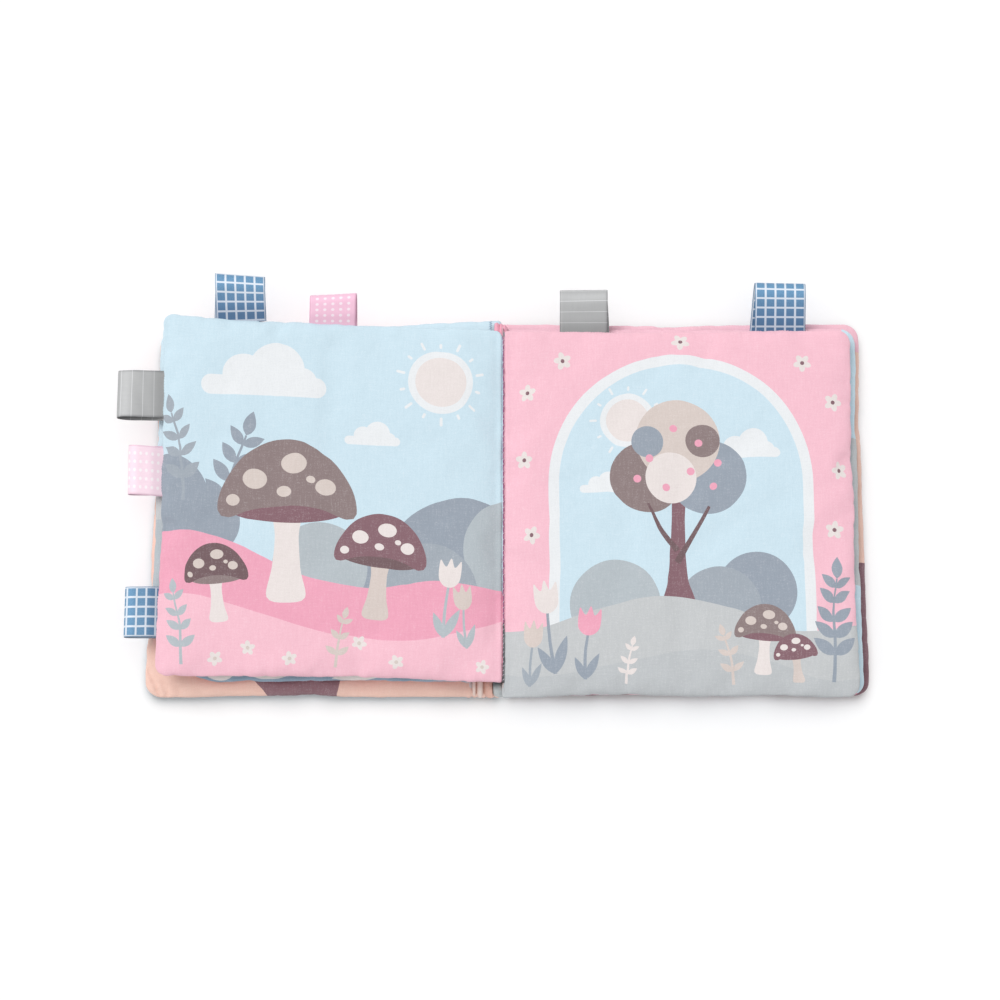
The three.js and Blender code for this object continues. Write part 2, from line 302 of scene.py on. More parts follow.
class Leaf:
    def __init__(self, name, level, sim, flip, seed, r_fore=7.0, crown=0.0, bow=0.8,
                 gathers=None, radii=None, pucker=1.0, calm=(1.0, 1.0, 1.0, 0.12),
                 spine_r=(2.5, 2.5), toe=0.0, folds=(1.0, 1.0), creases=()):
        # calm: how much each edge (foot, head, fore, spine) bows, wanders and puckers
        self.calm = calm
        self.name = name
        self.left = name.startswith("left")
        fh, sh, sf, ff = [np.array(p, float) for p in OUTLINES[name]]
        self.corners = (sf, ff, sh, fh)
        self.W = float((np.linalg.norm(fh - sh) + np.linalg.norm(ff - sf)) / 2)
        self.H = float((np.linalg.norm(fh - ff) + np.linalg.norm(sh - sf)) / 2)
        self.z = LEVELS[level]
        self.sim, self.flip = SIMS[sim], flip
        self.r_fore = r_fore
        self.radii = radii or (r_fore, r_fore)      # fore foot, fore head
        self.crown, self.bow = crown, bow
        self.gathers = gathers
        self.pucker = pucker
        self.spine_r = spine_r          # radius of the corners at the spine: foot, head
        self.toe = toe                  # how far the foot corner reaches over the spine
        self.folds = folds              # depth of the folds round the fore corners
        self.creases = creases          # (from fore edge, from foot) twice, depth, half width
        self.wander = waves2(seed, 6, 38, 110)
        self.wander2 = waves2(seed + 1, 7, 16, 40)
        self.pinch = [waves(seed + 10 + k, 7, 5.0, 17.0) for k in range(4)]
        self.pinch2 = [waves(seed + 20 + k, 6, 9.0, 40.0) for k in range(4)]
        self.drift = [waves(seed + 30 + k, 4, 45.0, 150.0) for k in range(4)]
        self.turn = np.random.default_rng(seed + 40).uniform(0, 6.28, 8)

    def plan(self, U, V):
        """Sewn outline: rounded corners. Gives x, y, the distance from the seam and
        the direction into the leaf."""
        W, H = self.W, self.H
        x, y = U.copy(), V.copy()
        for fore in (0, 1):
            for head in (0, 1):
                R = self.radii[head] if fore else self.spine_r[head]
                a = W - x if fore else x
                b = H - y if head else y
                inside = (a < R) & (b < R)
                s = np.where(inside, (R - a) / R, 0)
                t = np.where(inside, (R - b) / R, 0)
                s2 = s * np.sqrt(1 - t * t / 2)
                t2 = t * np.sqrt(1 - s * s / 2)
                a2 = np.where(inside, R - R * s2, a)
                b2 = np.where(inside, R - R * t2, b)
                x = W - a2 if fore else a2
                y = H - b2 if head else b2
        # signed distance from the rounded outline
        R = np.where(x > W / 2, np.where(y > H / 2, self.radii[1], self.radii[0]),
                     np.where(y > H / 2, self.spine_r[1], self.spine_r[0]))
        qx = np.abs(x - W / 2) - (W / 2 - R)
        qy = np.abs(y - H / 2) - (H / 2 - R)
        sx, sy = np.sign(x - W / 2), np.sign(y - H / 2)
        corner = (qx > 0) & (qy > 0)
        length = np.hypot(np.maximum(qx, 0), np.maximum(qy, 0))
        sdf = length + np.minimum(np.maximum(qx, qy), 0) - R
        safe = np.maximum(length, 1e-9)
        nx_ = np.where(corner, -sx * qx / safe, np.where(qx > qy, -sx, 0.0))
        ny_ = np.where(corner, -sy * qy / safe, np.where(qx > qy, 0.0, -sy))
        return x, y, np.maximum(-sdf, 0), nx_, ny_

    def point(self, U, V, up):
        U, V = np.asarray(U, float), np.asarray(V, float)
        W, H = self.W, self.H
        x, y, d, inx, iny = self.plan(U, V)
        fx, fy = U / W, V / H
        sx, sy = fx, fy
        if self.flip & 1:
            sx = 1 - fx
        if self.flip & 2:
            sy = 1 - fy
        dx, dy, r = self.sim[0 if up else 1]
        ddx = cubic_sample(dx, sx, sy) * (-1 if self.flip & 1 else 1)
        ddy = cubic_sample(dy, sx, sy) * (-1 if self.flip & 2 else 1)
        rr = cubic_sample(r, sx, sy)
        # the seam itself is shared, so both panels use the mean there
        near = np.exp(-d / 3.0)
        odx, ody, orr = self.sim[1 if up else 0]
        ddx = ddx * (1 - near) + near * 0.5 * (ddx + cubic_sample(odx, sx, sy) * (-1 if self.flip & 1 else 1))
        ddy = ddy * (1 - near) + near * 0.5 * (ddy + cubic_sample(ody, sx, sy) * (-1 if self.flip & 2 else 1))
        # the spine edge is sewn straight
        hold = smoothstep(0.0, 26.0, U)
        x = x + (0.8 - 0.4 * near) * ddx * hold
        y = y + (0.8 - 0.4 * near) * ddy
        # distances from the four edges: foot, head, fore, spine
        edges = [(U, V, (0, 1)), (U, H - V, (0, -1)), (V, W - U, (-1, 0)), (V, U, (1, 0))]
        spans = [W, W, H, H]
        zmul = np.ones_like(d)
        zadd = np.zeros_like(d)
        for k, ((s, dist, n), span) in enumerate(zip(edges, spans)):
            amp = (1.0, 1.0, 1.0, 2.2)[k] * self.pucker * self.calm[k]
            p = np.exp(0.75 * self.pinch[k](s)) - 1.3
            p2 = self.pinch2[k](s)
            ends = smoothstep(0, 10, s) * smoothstep(0, 10, span - s)
            # sides pull in between the corners, and wander a little
            inward = self.calm[k] * (self.bow * np.sin(math.pi * np.clip(s / span, 0, 1)) ** 0.8
                                     + 0.22 * self.drift[k](s) * ends) * np.exp(-dist / 22.0)
            inward = inward + amp * 0.13 * np.clip(p, -1.2, 3) * np.exp(-dist / 2.4) * (0.4 + 0.6 * ends)
            inward = inward + amp * 0.12 * p2 * np.exp(-dist / 6.0) * ends
            x = x + n[0] * inward
            y = y + n[1] * inward
            reach = 4.5 + 1.6 * np.tanh(p2)
            zmul = zmul - amp * 0.055 * np.clip(p, -1.2, 3) * np.exp(-((dist - 1.5) / reach) ** 2) * (0.3 + 0.7 * ends)
            zadd = zadd + amp * 0.10 * p2 * np.exp(-((dist - 7) / 7.0) ** 2) * ends
        # pinches round the fore corners
        for k, (cx, cy, R) in enumerate(((W - self.radii[0], self.radii[0], self.radii[0]),
                                         (W - self.radii[1], H - self.radii[1], self.radii[1]))):
            px, py = U - cx, V - cy
            rho = np.hypot(px, py)
            th = np.arctan2(py, px)
            ring = np.exp(-((rho - R * 0.95) / 3.6) ** 2) * smoothstep(-2.0, 2.5, px) * smoothstep(-2.0, 2.5, py if k else -py)
            fold = np.sin(9.0 * th + self.turn[2 * k]) + 0.6 * np.sin(15.0 * th + self.turn[2 * k + 1])
            zmul = zmul - 0.075 * self.folds[k] * fold * ring
        x = x - self.toe * (1 - smoothstep(6.9, 9.3, V)) * np.exp(-U / 9.0)
        seam = 0.34 * np.exp(-d / 0.5) * smoothstep(0.0, 5.0, U)
        x = x + inx * seam
        y = y + iny * seam
        rc = np.hypot(np.minimum(U, W - U), np.minimum(V, H - V))
        corner_drop = 0.86 + 0.14 * smoothstep(3, 24, rc)
        h = (edge_profile(d, 6.2, 0.60) if up and self.crown else edge_profile(d)) * corner_drop
        h = h * (1 + 0.75 * (rr - 1)) * zmul
        for a0, b0, a1, b1, deep, wide in self.creases:
            ex, ey = a1 - a0, b1 - b0
            run = math.hypot(ex, ey)
            ex, ey = ex / run, ey / run
            t_ = ((W - U - a0) * ex + (V - b0) * ey) / run
            n_ = -(W - U - a0) * ey + (V - b0) * ex
            win = smoothstep(-0.35, 0.15, t_) * (1 - smoothstep(0.95, 1.25, t_))
            h = h - deep * win * (np.exp(-(n_ / wide) ** 2) - 0.6 * np.exp(-((n_ + 2.0 * wide) / (1.2 * wide)) ** 2)) * smoothstep(0.2, 1.6, d)
        inner = smoothstep(4, 22, d)
        h = h + zadd * smoothstep(0.0, 2.0, d)
        calm = 0.16 if up and self.crown else 0.09
        h = h + inner * (calm * self.wander(U, V) + 0.35 * calm * self.wander2(U, V))
        if up:
            h = h + self.crown * smoothstep(2, 30, d)
            if self.crown:
                # the page falls away towards the spine
                h = h - 1.25 * np.exp(-(U / 8.5) ** 2) * smoothstep(0.0, 3.5, d)
                h = h - (0.75 if self.left else 0.2) * np.exp(-((W - U) / 6.0) ** 2) * smoothstep(0.0, 3.0, d)
        else:
            h = np.minimum(h, HALF - 0.02)
        if not self.crown or not up:
            h = np.minimum(h, HALF + 0.12)
        else:
            # facing crowns just touch when the book is closed
            h = np.where(h > 4.1, 4.1 + 0.32 * np.tanh((h - 4.1) / 0.32), h)
        z = self.z + (h if up else -h)
        if not up and self.z < HALF + 0.1:
            # flattened where the spine cover is sewn on
            z = z + (0.69 - z) * smoothstep(2.2, 4.4, U) * (1 - smoothstep(5.9, 10.0, U))
        if self.gathers:
            g = self.gathers
            reach = np.exp(-(np.maximum(V - g["v0"], 0) / g["deep"]) ** 2)
            u0, u1 = g["u"]
            win = smoothstep(u0 - 1.5, u0 + 1.0, U) * (1 - smoothstep(u1 - 1.0, u1 + 1.5, U))
            ph = (U - u0) / g["pitch"] * 2 * math.pi
            ridge = 0.5 - 0.5 * np.cos(ph + 0.5 * np.sin(0.37 * ph))
            ridge = ridge ** 0.8
            body = smoothstep(0.0, 1.6, d)
            if up:
                z = z + g["high"] * (ridge - 0.45) * win * reach * body
            y = y + (-0.9) * (ridge - 0.5) * win * np.exp(-V / 3.0)
        # onto the sewn outline
        sf, ff, sh, fh = self.corners
        t, v = x / W, y / H
        t, v = t[..., None], v[..., None]
        P = (1 - t) * (1 - v) * sf + t * (1 - v) * ff + (1 - t) * v * sh + t * v * fh
        return np.concatenate([P, z[..., None]], -1)


LEAVES = {
    "left_cover": Leaf("left_cover", "cover", 0, 0, 101, radii=(8.5, 8.0), bow=0.35, pucker=1.2, calm=(0.35, 0.6, 0.6, 0.1), folds=(2.0, 1.5),
                       creases=((5.2, 8.0, 7.6, 0.4, 1.2, 0.9), (9.0, 9.5, 12.0, 0.4, 1.0, 0.9), (2.2, 13.5, 4.4, 8.6, 0.6, 0.9),
                                (16.5, 5.0, 17.5, 0.4, 0.5, 1.0)),
                       gathers={"u": (3.5, 17.0), "pitch": 3.8, "v0": 2.0, "deep": 12.0, "high": 0.7}),
    "left_middle_leaf": None, "left_top_leaf": None,
}
LEAVES["left_middle_leaf"] = Leaf("left_middle", "middle", 1, 1, 202, radii=(38.0, 7.0), bow=0.5, calm=(0.7, 0.7, 0.6, 0.1))
LEAVES["left_top_leaf"] = Leaf("left_top", "top", 2, 0, 303, radii=(6.0, 5.5), bow=0.8, crown=0.45, pucker=1.1,
                               calm=(0.8, 0.8, 0.8, 0.15), spine_r=(1.6, 4.6))
LEAVES["right_cover"] = Leaf("right_cover", "cover", 0, 3, 404, radii=(7.0, 8.0), bow=0.7, calm=(0.5, 0.5, 0.4, 0.1), spine_r=(1.3, 1.3))
LEAVES["right_middle_leaf"] = Leaf("right_middle", "middle", 1, 2, 505, radii=(7.0, 8.5), bow=0.5, calm=(0.6, 0.5, 0.45, 0.1), spine_r=(1.3, 1.3))
LEAVES["right_top_leaf"] = Leaf("right_top", "top", 2, 3, 606, radii=(6.5, 7.0), bow=0.5, crown=0.45, calm=(0.6, 0.6, 0.8, 0.15),
                                spine_r=(1.4, 1.6), toe=1.15)


# ================================================================ printed shapes
# A page's design is a list of (colour, polygon) in reader's millimetres: x to the
# right, y up from the foot, later ones on top.
def arc_step(r):
    return max(10, int(2 * math.pi * r / max(0.55, math.sqrt(8 * r * 0.035))))


def circle(cx, cy, r):
    n = arc_step(r)
    t = np.linspace(0, 2 * math.pi, n, endpoint=False)
    return np.stack([cx + r * np.cos(t), cy + r * np.sin(t)], -1)


def ellipse(cx, cy, rx, ry, rot=0.0):
    n = arc_step(max(rx, ry))
    t = np.linspace(0, 2 * math.pi, n, endpoint=False)
    a, b = rx * np.cos(t), ry * np.sin(t)
    c, s = math.cos(rot), math.sin(rot)
    return np.stack([cx + a * c - b * s, cy + a * s + b * c], -1)


def spline(points, closed=True, step=1.5):
    P = np.array(points, float)
    n = len(P)
    out = []
    last = n if closed else n - 1
    for i in range(last):
        p0, p1, p2, p3 = (P[(i + k) % n] if closed else P[min(max(i + k, 0), n - 1)] for k in (-1, 0, 1, 2))
        m = max(2, int(np.linalg.norm(p2 - p1) / step))
        for f in np.arange(m) / m:
            w = cubic_weights(f)
            out.append(w[0] * p0 + w[1] * p1 + w[2] * p2 + w[3] * p3)
    if not closed:
        out.append(P[-1])
    return np.array(out)


def ground(points, W):
    """A hill line from left to right, filled down past the foot."""
    top = spline(points, closed=False)
    return np.concatenate([top, [(W + 20, top[-1][1]), (W + 20, -20), (-20, -20), (-20, top[0][1])]])


def box(x0, y0, x1, y1, r=0.0):
    if r <= 0:
        return np.array([(x0, y0), (x1, y0), (x1, y1), (x0, y1)], float)
    out = []
    for cx, cy, a in ((x1 - r, y0 + r, -90), (x1 - r, y1 - r, 0), (x0 + r, y1 - r, 90), (x0 + r, y0 + r, 180)):
        for k in range(7):
            t = math.radians(a + 15 * k)
            out.append((cx + r * math.cos(t), cy + r * math.sin(t)))
    return np.array(out)


def turned(poly, cx, cy, deg, scale=1.0):
    c, s = math.cos(math.radians(deg)) * scale, math.sin(math.radians(deg)) * scale
    q = np.asarray(poly, float)
    return np.stack([cx + q[:, 0] * c - q[:, 1] * s, cy + q[:, 0] * s + q[:, 1] * c], -1)


def leaf_shape(length, width):
    """A pointed oval from (0, 0) along +y."""
    n = max(6, int(length / 1.6))
    t = np.linspace(0, 1, n + 1)
    w = width / 2 * np.sin(math.pi * t ** 0.85) ** 0.9
    y = length * t
    return np.concatenate([np.stack([w, y], -1), np.stack([-w[-2:0:-1], y[-2:0:-1]], -1)])


def band(points, w0, w1, step=1.6):
    """A tapering stroke along a curve."""
    c = spline(points, closed=False, step=step)
    t = np.gradient(c, axis=0)
    t /= np.linalg.norm(t, axis=1, keepdims=True)
    nrm = np.stack([-t[:, 1], t[:, 0]], -1)
    w = np.linspace(w0, w1, len(c))[:, None] / 2
    return np.concatenate([c + nrm * w, (c - nrm * w)[::-1]])


def cloud(x, y, w, colour="white"):
    """A flat-footed cloud of three domes; x, y is the middle of its foot."""
    h = w * 0.16
    return [(colour, box(x - w / 2, y, x + w / 2, y + h, h * 0.499)),
            (colour, circle(x - w * 0.16, y + h * 1.05, w * 0.17)),
            (colour, circle(x + w * 0.10, y + h * 1.35, w * 0.22)),
            (colour, circle(x + w * 0.30, y + h * 0.75, w * 0.12))]


def sun(x, y, r, colour, rays="white", n=14):
    out = [(rays, circle(x, y, r * 1.28)), (colour, circle(x, y, r))]
    for k in range(n):
        a = 360.0 * k / n
        ray = box(-r * 0.055, r * 1.42, r * 0.055, r * (1.78 if k % 2 else 1.64), r * 0.054)
        out.append((rays, turned(ray, x, y, a)))
    return out


def sprig(x, y, length, lean, pairs, colour, size=1.0, stem=1.3):
    """A stem with pairs of round-ended leaves and one at the tip."""
    lean_r = math.radians(lean)
    tip = (x + length * math.sin(lean_r) * 1.0, y + length * math.cos(lean_r))
    mid = (x + length * 0.5 * math.sin(lean_r * 0.55), y + length * 0.52 * math.cos(lean_r * 0.55))
    out = [(colour, band([(x, y), mid, tip], stem * size, stem * size * 0.5))]
    line = spline([(x, y), mid, tip], closed=False, step=1.0)
    tan = np.gradient(line, axis=0)
    for k in range(pairs):
        f = 0.30 + 0.58 * k / max(1, pairs - 1)
        i = int(f * (len(line) - 1))
        deg = math.degrees(math.atan2(-tan[i][0], tan[i][1]))
        L = size * length * (0.30 - 0.12 * f)
        for side in (-1, 1):
            out.append((colour, turned(leaf_shape(L, L * 0.46), line[i][0], line[i][1], deg + side * 52)))
    deg = math.degrees(math.atan2(-tan[-1][0], tan[-1][1]))
    L = size * length * 0.22
    out.append((colour, turned(leaf_shape(L, L * 0.5), line[-1][0], line[-1][1], deg)))
    return out


def tulip(x, y, h, flower, stem, lean=0.0, s=1.0):
    tip = (x + h * math.sin(math.radians(lean)), y + h * math.cos(math.radians(lean)))
    out = [(stem, band([(x, y), ((x + tip[0]) / 2 - 0.6, (y + tip[1]) / 2), tip], 1.7 * s, 1.2 * s))]
    out.append((stem, turned(leaf_shape(h * 0.62, h * 0.17), x, y, -24 - lean)))
    out.append((stem, turned(leaf_shape(h * 0.50, h * 0.16), x, y, 27 - lean)))
    cup = spline([(-5, 1.5), (-5.6, 6), (-5.2, 11.5), (-3.4, 9.2), (-1.9, 8.2), (0, 12.6), (1.9, 8.2),
                  (3.4, 9.2), (5.2, 11.5), (5.6, 6), (5, 1.5), (2.6, -1.3), (0, -2.0), (-2.6, -1.3)], step=0.9)
    out.append((flower, turned(cup, tip[0], tip[1], -lean, s)))
    return out


def mushroom(x, y, s, cap="taupe", stalk="cream", spots="sand", gill="plum", lean=0.0):
    st = spline([(-7, -3), (-5.2, 8), (-4.4, 20), (-5.0, 31), (5.0, 31), (4.4, 20), (5.4, 8), (7.4, -3), (0, -5)], step=1.6)
    gl = ellipse(0, 29.5, 21.5, 4.6)
    dome = spline([(-26, 29.0), (-24.5, 38), (-17, 49.5), (-6, 56.0), (6, 56.0), (17, 49.5), (24.5, 38),
                   (26, 29.0), (22, 26.6), (12, 30.2), (0, 31.4), (-12, 30.2), (-22, 26.6)], step=1.6)
    out = [(stalk, turned(st, x, y, lean, s)), (gill, turned(gl, x, y, lean, s)), (cap, turned(dome, x, y, lean, s))]
    for cx, cy, rx, ry in ((-12.5, 41.5, 4.6, 3.8), (2.5, 47.8, 5.2, 3.9), (14.5, 38.6, 3.9, 3.3),
                           (-1.5, 37.2, 2.7, 2.1), (-20.5, 33.2, 2.5, 2.3), (9.0, 41.6, 1.8, 1.5)):
        out.append((spots, turned(ellipse(cx, cy, rx, ry), x, y, lean, s)))
    return out


def dots(W, H, pitch, r, colour, x0=0.0, y0=0.0):
    out = []
    row = 0
    y = y0
    while y < H + r:
        x = x0 + (pitch / 2 if row % 2 else 0)
        while x < W + r:
            out.append((colour, circle(x, y, r)))
            x += pitch
        y += pitch * 0.8
        row += 1
    return out


def rainbow(cx, cy, r, w, colours):
    out = []
    for k, c in enumerate(colours):
        out.append((c, circle(cx, cy, r - k * w)))
    return out


def tree(x, y, h, trunk, canopy):
    out = [(trunk, spline([(x - h * 0.085, y - 3), (x - h * 0.05, y + h * 0.12), (x - h * 0.036, y + h * 0.36),
                           (x - h * 0.03, y + h * 0.62), (x + h * 0.03, y + h * 0.62), (x + h * 0.036, y + h * 0.36),
                           (x + h * 0.055, y + h * 0.12), (x + h * 0.095, y - 3), (x, y - 5)], step=1.5))]
    for colour, dx, dy, r in canopy:
        out.append((colour, circle(x + h * dx, y + h * dy, h * r)))
    return out


# ----------------------------------------------------------------- page designs
def page_left_top(W, H):
    a = [("sky", box(-9, -9, W + 9, H + 9))]
    a += sun(139, 150, 12.5, "cream")
    a += cloud(52, 139, 62)
    a += cloud(106, 117, 27)
    # far hills
    for cx, cy, r, c in ((150, 52, 40, "slate"), (112, 47, 30, "slate"), (80, 54, 23, "mist"), (176, 66, 26, "mist"), (131, 42, 27, "leafgrey")):
        a += [(c, circle(cx, cy, r))]
    # round bushes at the left, behind the big toadstools
    for cx, cy, r in ((4, 88, 21), (22, 76, 19), (-4, 66, 22)):
        a += [("slate", circle(cx, cy, r))]
    a += sprig(31, 62, 58, 12, 5, "slate", 1.0, 2.0)
    a += sprig(13, 86, 44, -9, 4, "leafgrey", 1.0, 1.8)
    a += [("rose", ground([(-20, 66), (10, 71), (38, 66), (70, 52), (104, 45), (138, 50), (W + 20, 42)], W))]
    a += [("pink", ground([(-20, 37), (18, 40), (52, 32), (84, 23), (122, 20), (152, 26), (W + 20, 36)], W))]
    a += mushroom(64, 44, 1.30)
    a += mushroom(107, 34, 0.86, cap="plum", stalk="sand", spots="cream", gill="bark", lean=-5)
    a += mushroom(32, 30, 0.62, cap="bark", stalk="cream", spots="sand", gill="taupe", lean=6)
    a += tulip(140, 22, 27, "cream", "mist", 6)
    a += tulip(152, 17, 21, "sand", "mist", -5, 0.85)
    a += sprig(14, 6, 34, -8, 4, "mist", 1.0, 1.6)
    a += sprig(88, 5, 25, 10, 3, "sand", 1.1, 1.4)
    for k, (fx, fy) in enumerate(((46, 15), (66, 10), (118, 9), (30, 9), (100, 18), (160, 8))):
        a += [("cream", turned(ellipse(0, 1.9, 1.25, 1.9), fx, fy, 72 * j + 11 * k)) for j in range(5)]
        a += [("sand", circle(fx, fy, 0.95))]
    return a


def page_right_top(W, H):
    a = [("pink", box(-9, -9, W + 9, H + 9))]
    x0, x1, y0, top = 23.0, 152.0, 16.0, 106.0
    cx, R = (x0 + x1) / 2, (x1 - x0) / 2

    def arch(inset, colour):
        n = arc_step(R)
        t = np.linspace(0, math.pi, n // 2)
        r = R - inset
        pts = [(cx + r * math.cos(k), top + r * math.sin(k)) for k in t]
        return (colour, np.array(pts + [(cx - r, y0 + inset), (cx + r, y0 + inset)]))
    a += [arch(0, "white"), arch(5.2, "sky")]
    # inside the window: everything here stays well within its frame
    a += sun(62, 137, 10.5, "cream", n=12)
    a += cloud(119, 118, 34)
    a += cloud(50, 101, 24)
    a += [("mist", circle(55, 46, 22)), ("slate", circle(124, 52, 19)), ("leafgrey", circle(106, 44, 20))]
    a += tree(86, 48, 92, "plum", (
        ("slate", 0.16, 0.66, 0.20), ("taupe", -0.17, 0.66, 0.19), ("sand", 0.0, 0.86, 0.22),
        ("cream", -0.04, 0.66, 0.135), ("taupe", 0.13, 0.86, 0.09), ("slate", -0.16, 0.85, 0.085)))
    for fx, fy in ((66, 108), (72, 118), (103, 104), (96, 126), (84, 133), (80, 104), (105, 116), (92, 112)):
        a += [("rose", circle(fx, fy, 1.9))]
    a += [("bark", band([(86, 66), (95, 83), (101, 94)], 3.4, 1.4)), ("bark", band([(86, 72), (77, 84), (71, 96)], 3.0, 1.2))]
    a += [("ground", ground([(-20, 31), (16, 34), (46, 44), (78, 50), (112, 44), (142, 33), (W + 20, 38)], W))]
    a += [("dove", ground([(-20, 13), (22, 11), (60, 18), (96, 24), (130, 18), (156, 9), (W + 20, 12)], W))]
    a += tulip(26, 12, 32, "cream", "slate", -7, 1.1)
    a += tulip(40, 9, 24, "rose", "slate", 5)
    a += tulip(13, 6, 21, "sand", "leafgrey", 4, 0.9)
    a += mushroom(126, 14, 0.56, cap="taupe", lean=-4)
    a += mushroom(143, 9, 0.40, cap="plum", stalk="sand", spots="cream", lean=7)
    a += sprig(160, 8, 50, 3, 5, "slate", 1.0, 1.9)
    a += sprig(112, 6, 25, -10, 3, "sand", 1.1, 1.4)
    a += sprig(60, 5, 21, 8, 3, "cream", 1.1, 1.3)
    for k, (fx, fy) in enumerate(((12, 152), (30, 168), (148, 166), (163, 146), (10, 118), (166, 112), (88, 178), (14, 80), (163, 82))):
        a += [("cream", turned(ellipse(0, 2.3, 1.5, 2.3), fx, fy, 72 * j + 17 * k)) for j in range(5)]
        a += [("plum", circle(fx, fy, 1.05))]
    return a


def page_left_middle(W, H):
    a = [("sky", box(-9, -9, W + 9, H + 9))]
    a += sun(38, 150, 12, "cream")
    a += cloud(112, 140, 50)
    a += [("ground", ground([(-20, 118), (4, 119), (26, 112), (52, 88), (86, 70), (128, 76), (W + 20, 66)], W))]
    a += [("mist", ground([(-20, 84), (30, 80), (70, 60), (120, 54), (W + 20, 60)], W))]
    a += [("lake", ground([(-20, 40), (30, 44), (90, 40), (140, 45), (W + 20, 41)], W))]
    # a small sailing boat
    a += [("plum", spline([(66, 50), (72, 38), (104, 38), (114, 50), (90, 47.5)], step=1.5)),
          ("bark", box(88.6, 48, 90.4, 104)),
          ("cream", np.array([(92, 52), (92, 102), (118, 56)])),
          ("rose", np.array([(87, 56), (87, 96), (68, 58)]))]
    for y in (31, 22, 12):
        for k in range(6):
            xx = 8 + 29 * k + (12 if y == 22 else 0)
            a += [("cream", band([(xx, y), (xx + 5, y + 1.6), (xx + 11, y), (xx + 16, y + 1.4)], 1.3, 0.8))]
    for x0, x1, yy in ((26, 44, 3.2), (46, 76, 4.0), (90, 118, 2.4), (128, 150, 3.6)):
        a += [("cream", spline([(x0, yy - 1.2), ((x0 + x1) / 2, yy + 1.6), (x1, yy + 2.6), ((x0 + x1) / 2 + 3, yy - 2.2)], step=1.5))]
    return a


def page_left_cover(W, H):
    # painted light: the ground, the rainbow's last band and the pot use the lighter copies of peach and plum, to offset
    # the shade of the leaves above
    a = [("peach_lit", box(-9, -9, W + 9, H + 9))]
    a += rainbow(118, 92, 54, 8.5, ("plum", "rose", "cream", "sky", "peach_lit"))
    a += [("peach_lit", box(50, -9, 186, 92))]
    a += cloud(60, 82, 36)
    a += cloud(150, 82, 30)
    # a plant in a pot; the pot runs off the foot
    for deg, L, c in ((-62, 44, "slate"), (-34, 56, "taupe"), (-8, 62, "slate"), (20, 58, "taupe"), (48, 46, "slate"), (70, 36, "mist"), (-84, 32, "mist")):
        a += [(c, turned(leaf_shape(L, L * 0.34), 78, 26, deg))]
    a += [("plum_lit", np.array([(43.5, 24), (101, 24), (95.5, 9), (93, -9), (67, -9), (53, 9)])), ("bark", box(39, 21, 106, 29, 2.5))]
    for k, (fx, fy) in enumerate(((20, 150), (28, 60), (18, 112), (150, 40), (128, 16), (22, 22), (160, 150), (96, 168), (160, 10))):
        a += [("cream", turned(ellipse(0, 2.6, 1.7, 2.6), fx, fy, 72 * j + 13 * k)) for j in range(5)]
        a += [("plum", circle(fx, fy, 1.2))]
    return a


def page_right_middle(W, H):
    a = [("sky", box(-9, -9, W + 9, H + 9))]
    a += sun(40, 146, 13, "cream")
    a += cloud(96, 152, 44)
    for cx, cy, r in ((172, 96, 33), (140, 84, 24), (176, 84, 30)):
        a += [("ground", circle(cx, cy, r))]
    a += cloud(48, 92, 34)
    a += [("rose", ground([(-20, 46), (30, 50), (80, 42), (120, 30), (150, 14), (W + 20, -12)], W))]
    a += [("pink", ground([(-20, 22), (40, 26), (90, 16), (130, 2), (W + 20, -18)], W))]
    a += tree(62, 40, 74, "plum", (("mist", 0.13, 0.66, 0.19), ("slate", -0.14, 0.66, 0.18), ("sand", 0.0, 0.83, 0.19)))
    a += tulip(100, 18, 30, "cream", "slate", 5)
    a += tulip(116, 12, 24, "sand", "slate", -5)
    a += mushroom(28, 22, 0.5, cap="taupe")
    a += [("pink", spline([(-20, H - 7), (40, H - 6), (W - 24, H - 6), (W - 10, H - 5), (W - 5.5, H + 3), (W - 5, H + 12), (-20, H + 12)], step=1.5))]
    return a


def page_right_cover(W, H):
    a = [("peach_lit", box(-9, -9, W + 9, H + 9))]
    top = spline([(-20, 172), (30, 168), (80, 176), (130, 180), (150, 178), (170, 175), (W - 4.5, 174), (W + 20, 176)], closed=False)
    a += [("pink", np.concatenate([top, [(W + 20, H + 20), (-20, H + 20)]]))]
    a += sun(120, 128, 14, "cream")
    a += cloud(56, 132, 46)
    for cx, cy, r, c in ((66, 46, 34, "slate"), (30, 40, 28, "mist"), (104, 40, 28, "taupe")):
        a += [(c, circle(cx, cy, r))]
    a += [("plum", ground([(-20, 18), (40, 22), (90, 30), (130, 50), (160, 64), (W + 20, 67)], W))]
    a += sprig(140, 42, 46, 6, 5, "cream", 1.0, 1.7)
    a += tulip(48, 12, 30, "cream", "mist", -5)
    a += tulip(64, 14, 24, "sand", "mist", 6)
    return a


def page_cream_dots(W, H):
    return [("cream", box(-9, -9, W + 9, H + 9))] + dots(W, H, 15.0, 2.6, "rose", 7, 6)


def page_stripes(W, H):
    a = [("slate", box(-9, -9, W + 9, H + 9))]
    y = 6.0
    while y < H + 4:
        a += [("cream", box(-9, y, W + 9, y + 2.6))]
        y += 13.0
    return a


def page_sky_clouds(W, H):
    a = [("sky", box(-9, -9, W + 9, H + 9))]
    for x, y, w in ((38, 150, 46), (122, 134, 54), (60, 100, 40), (136, 82, 36), (34, 52, 44), (108, 30, 56), (88, 168, 26), (20, 12, 28)):
        a += cloud(x, y, w)
    return a


def page_pink_checks(W, H):
    a = [("pink", box(-9, -9, W + 9, H + 9))]
    for k in range(9):
        a += [("rose", box(6 + 20 * k, -9, 14 + 20 * k, H + 9))]
    for k in range(10):
        a += [("cream", box(-9, 6 + 20 * k, W + 9, 7.6 + 20 * k))]
    return a


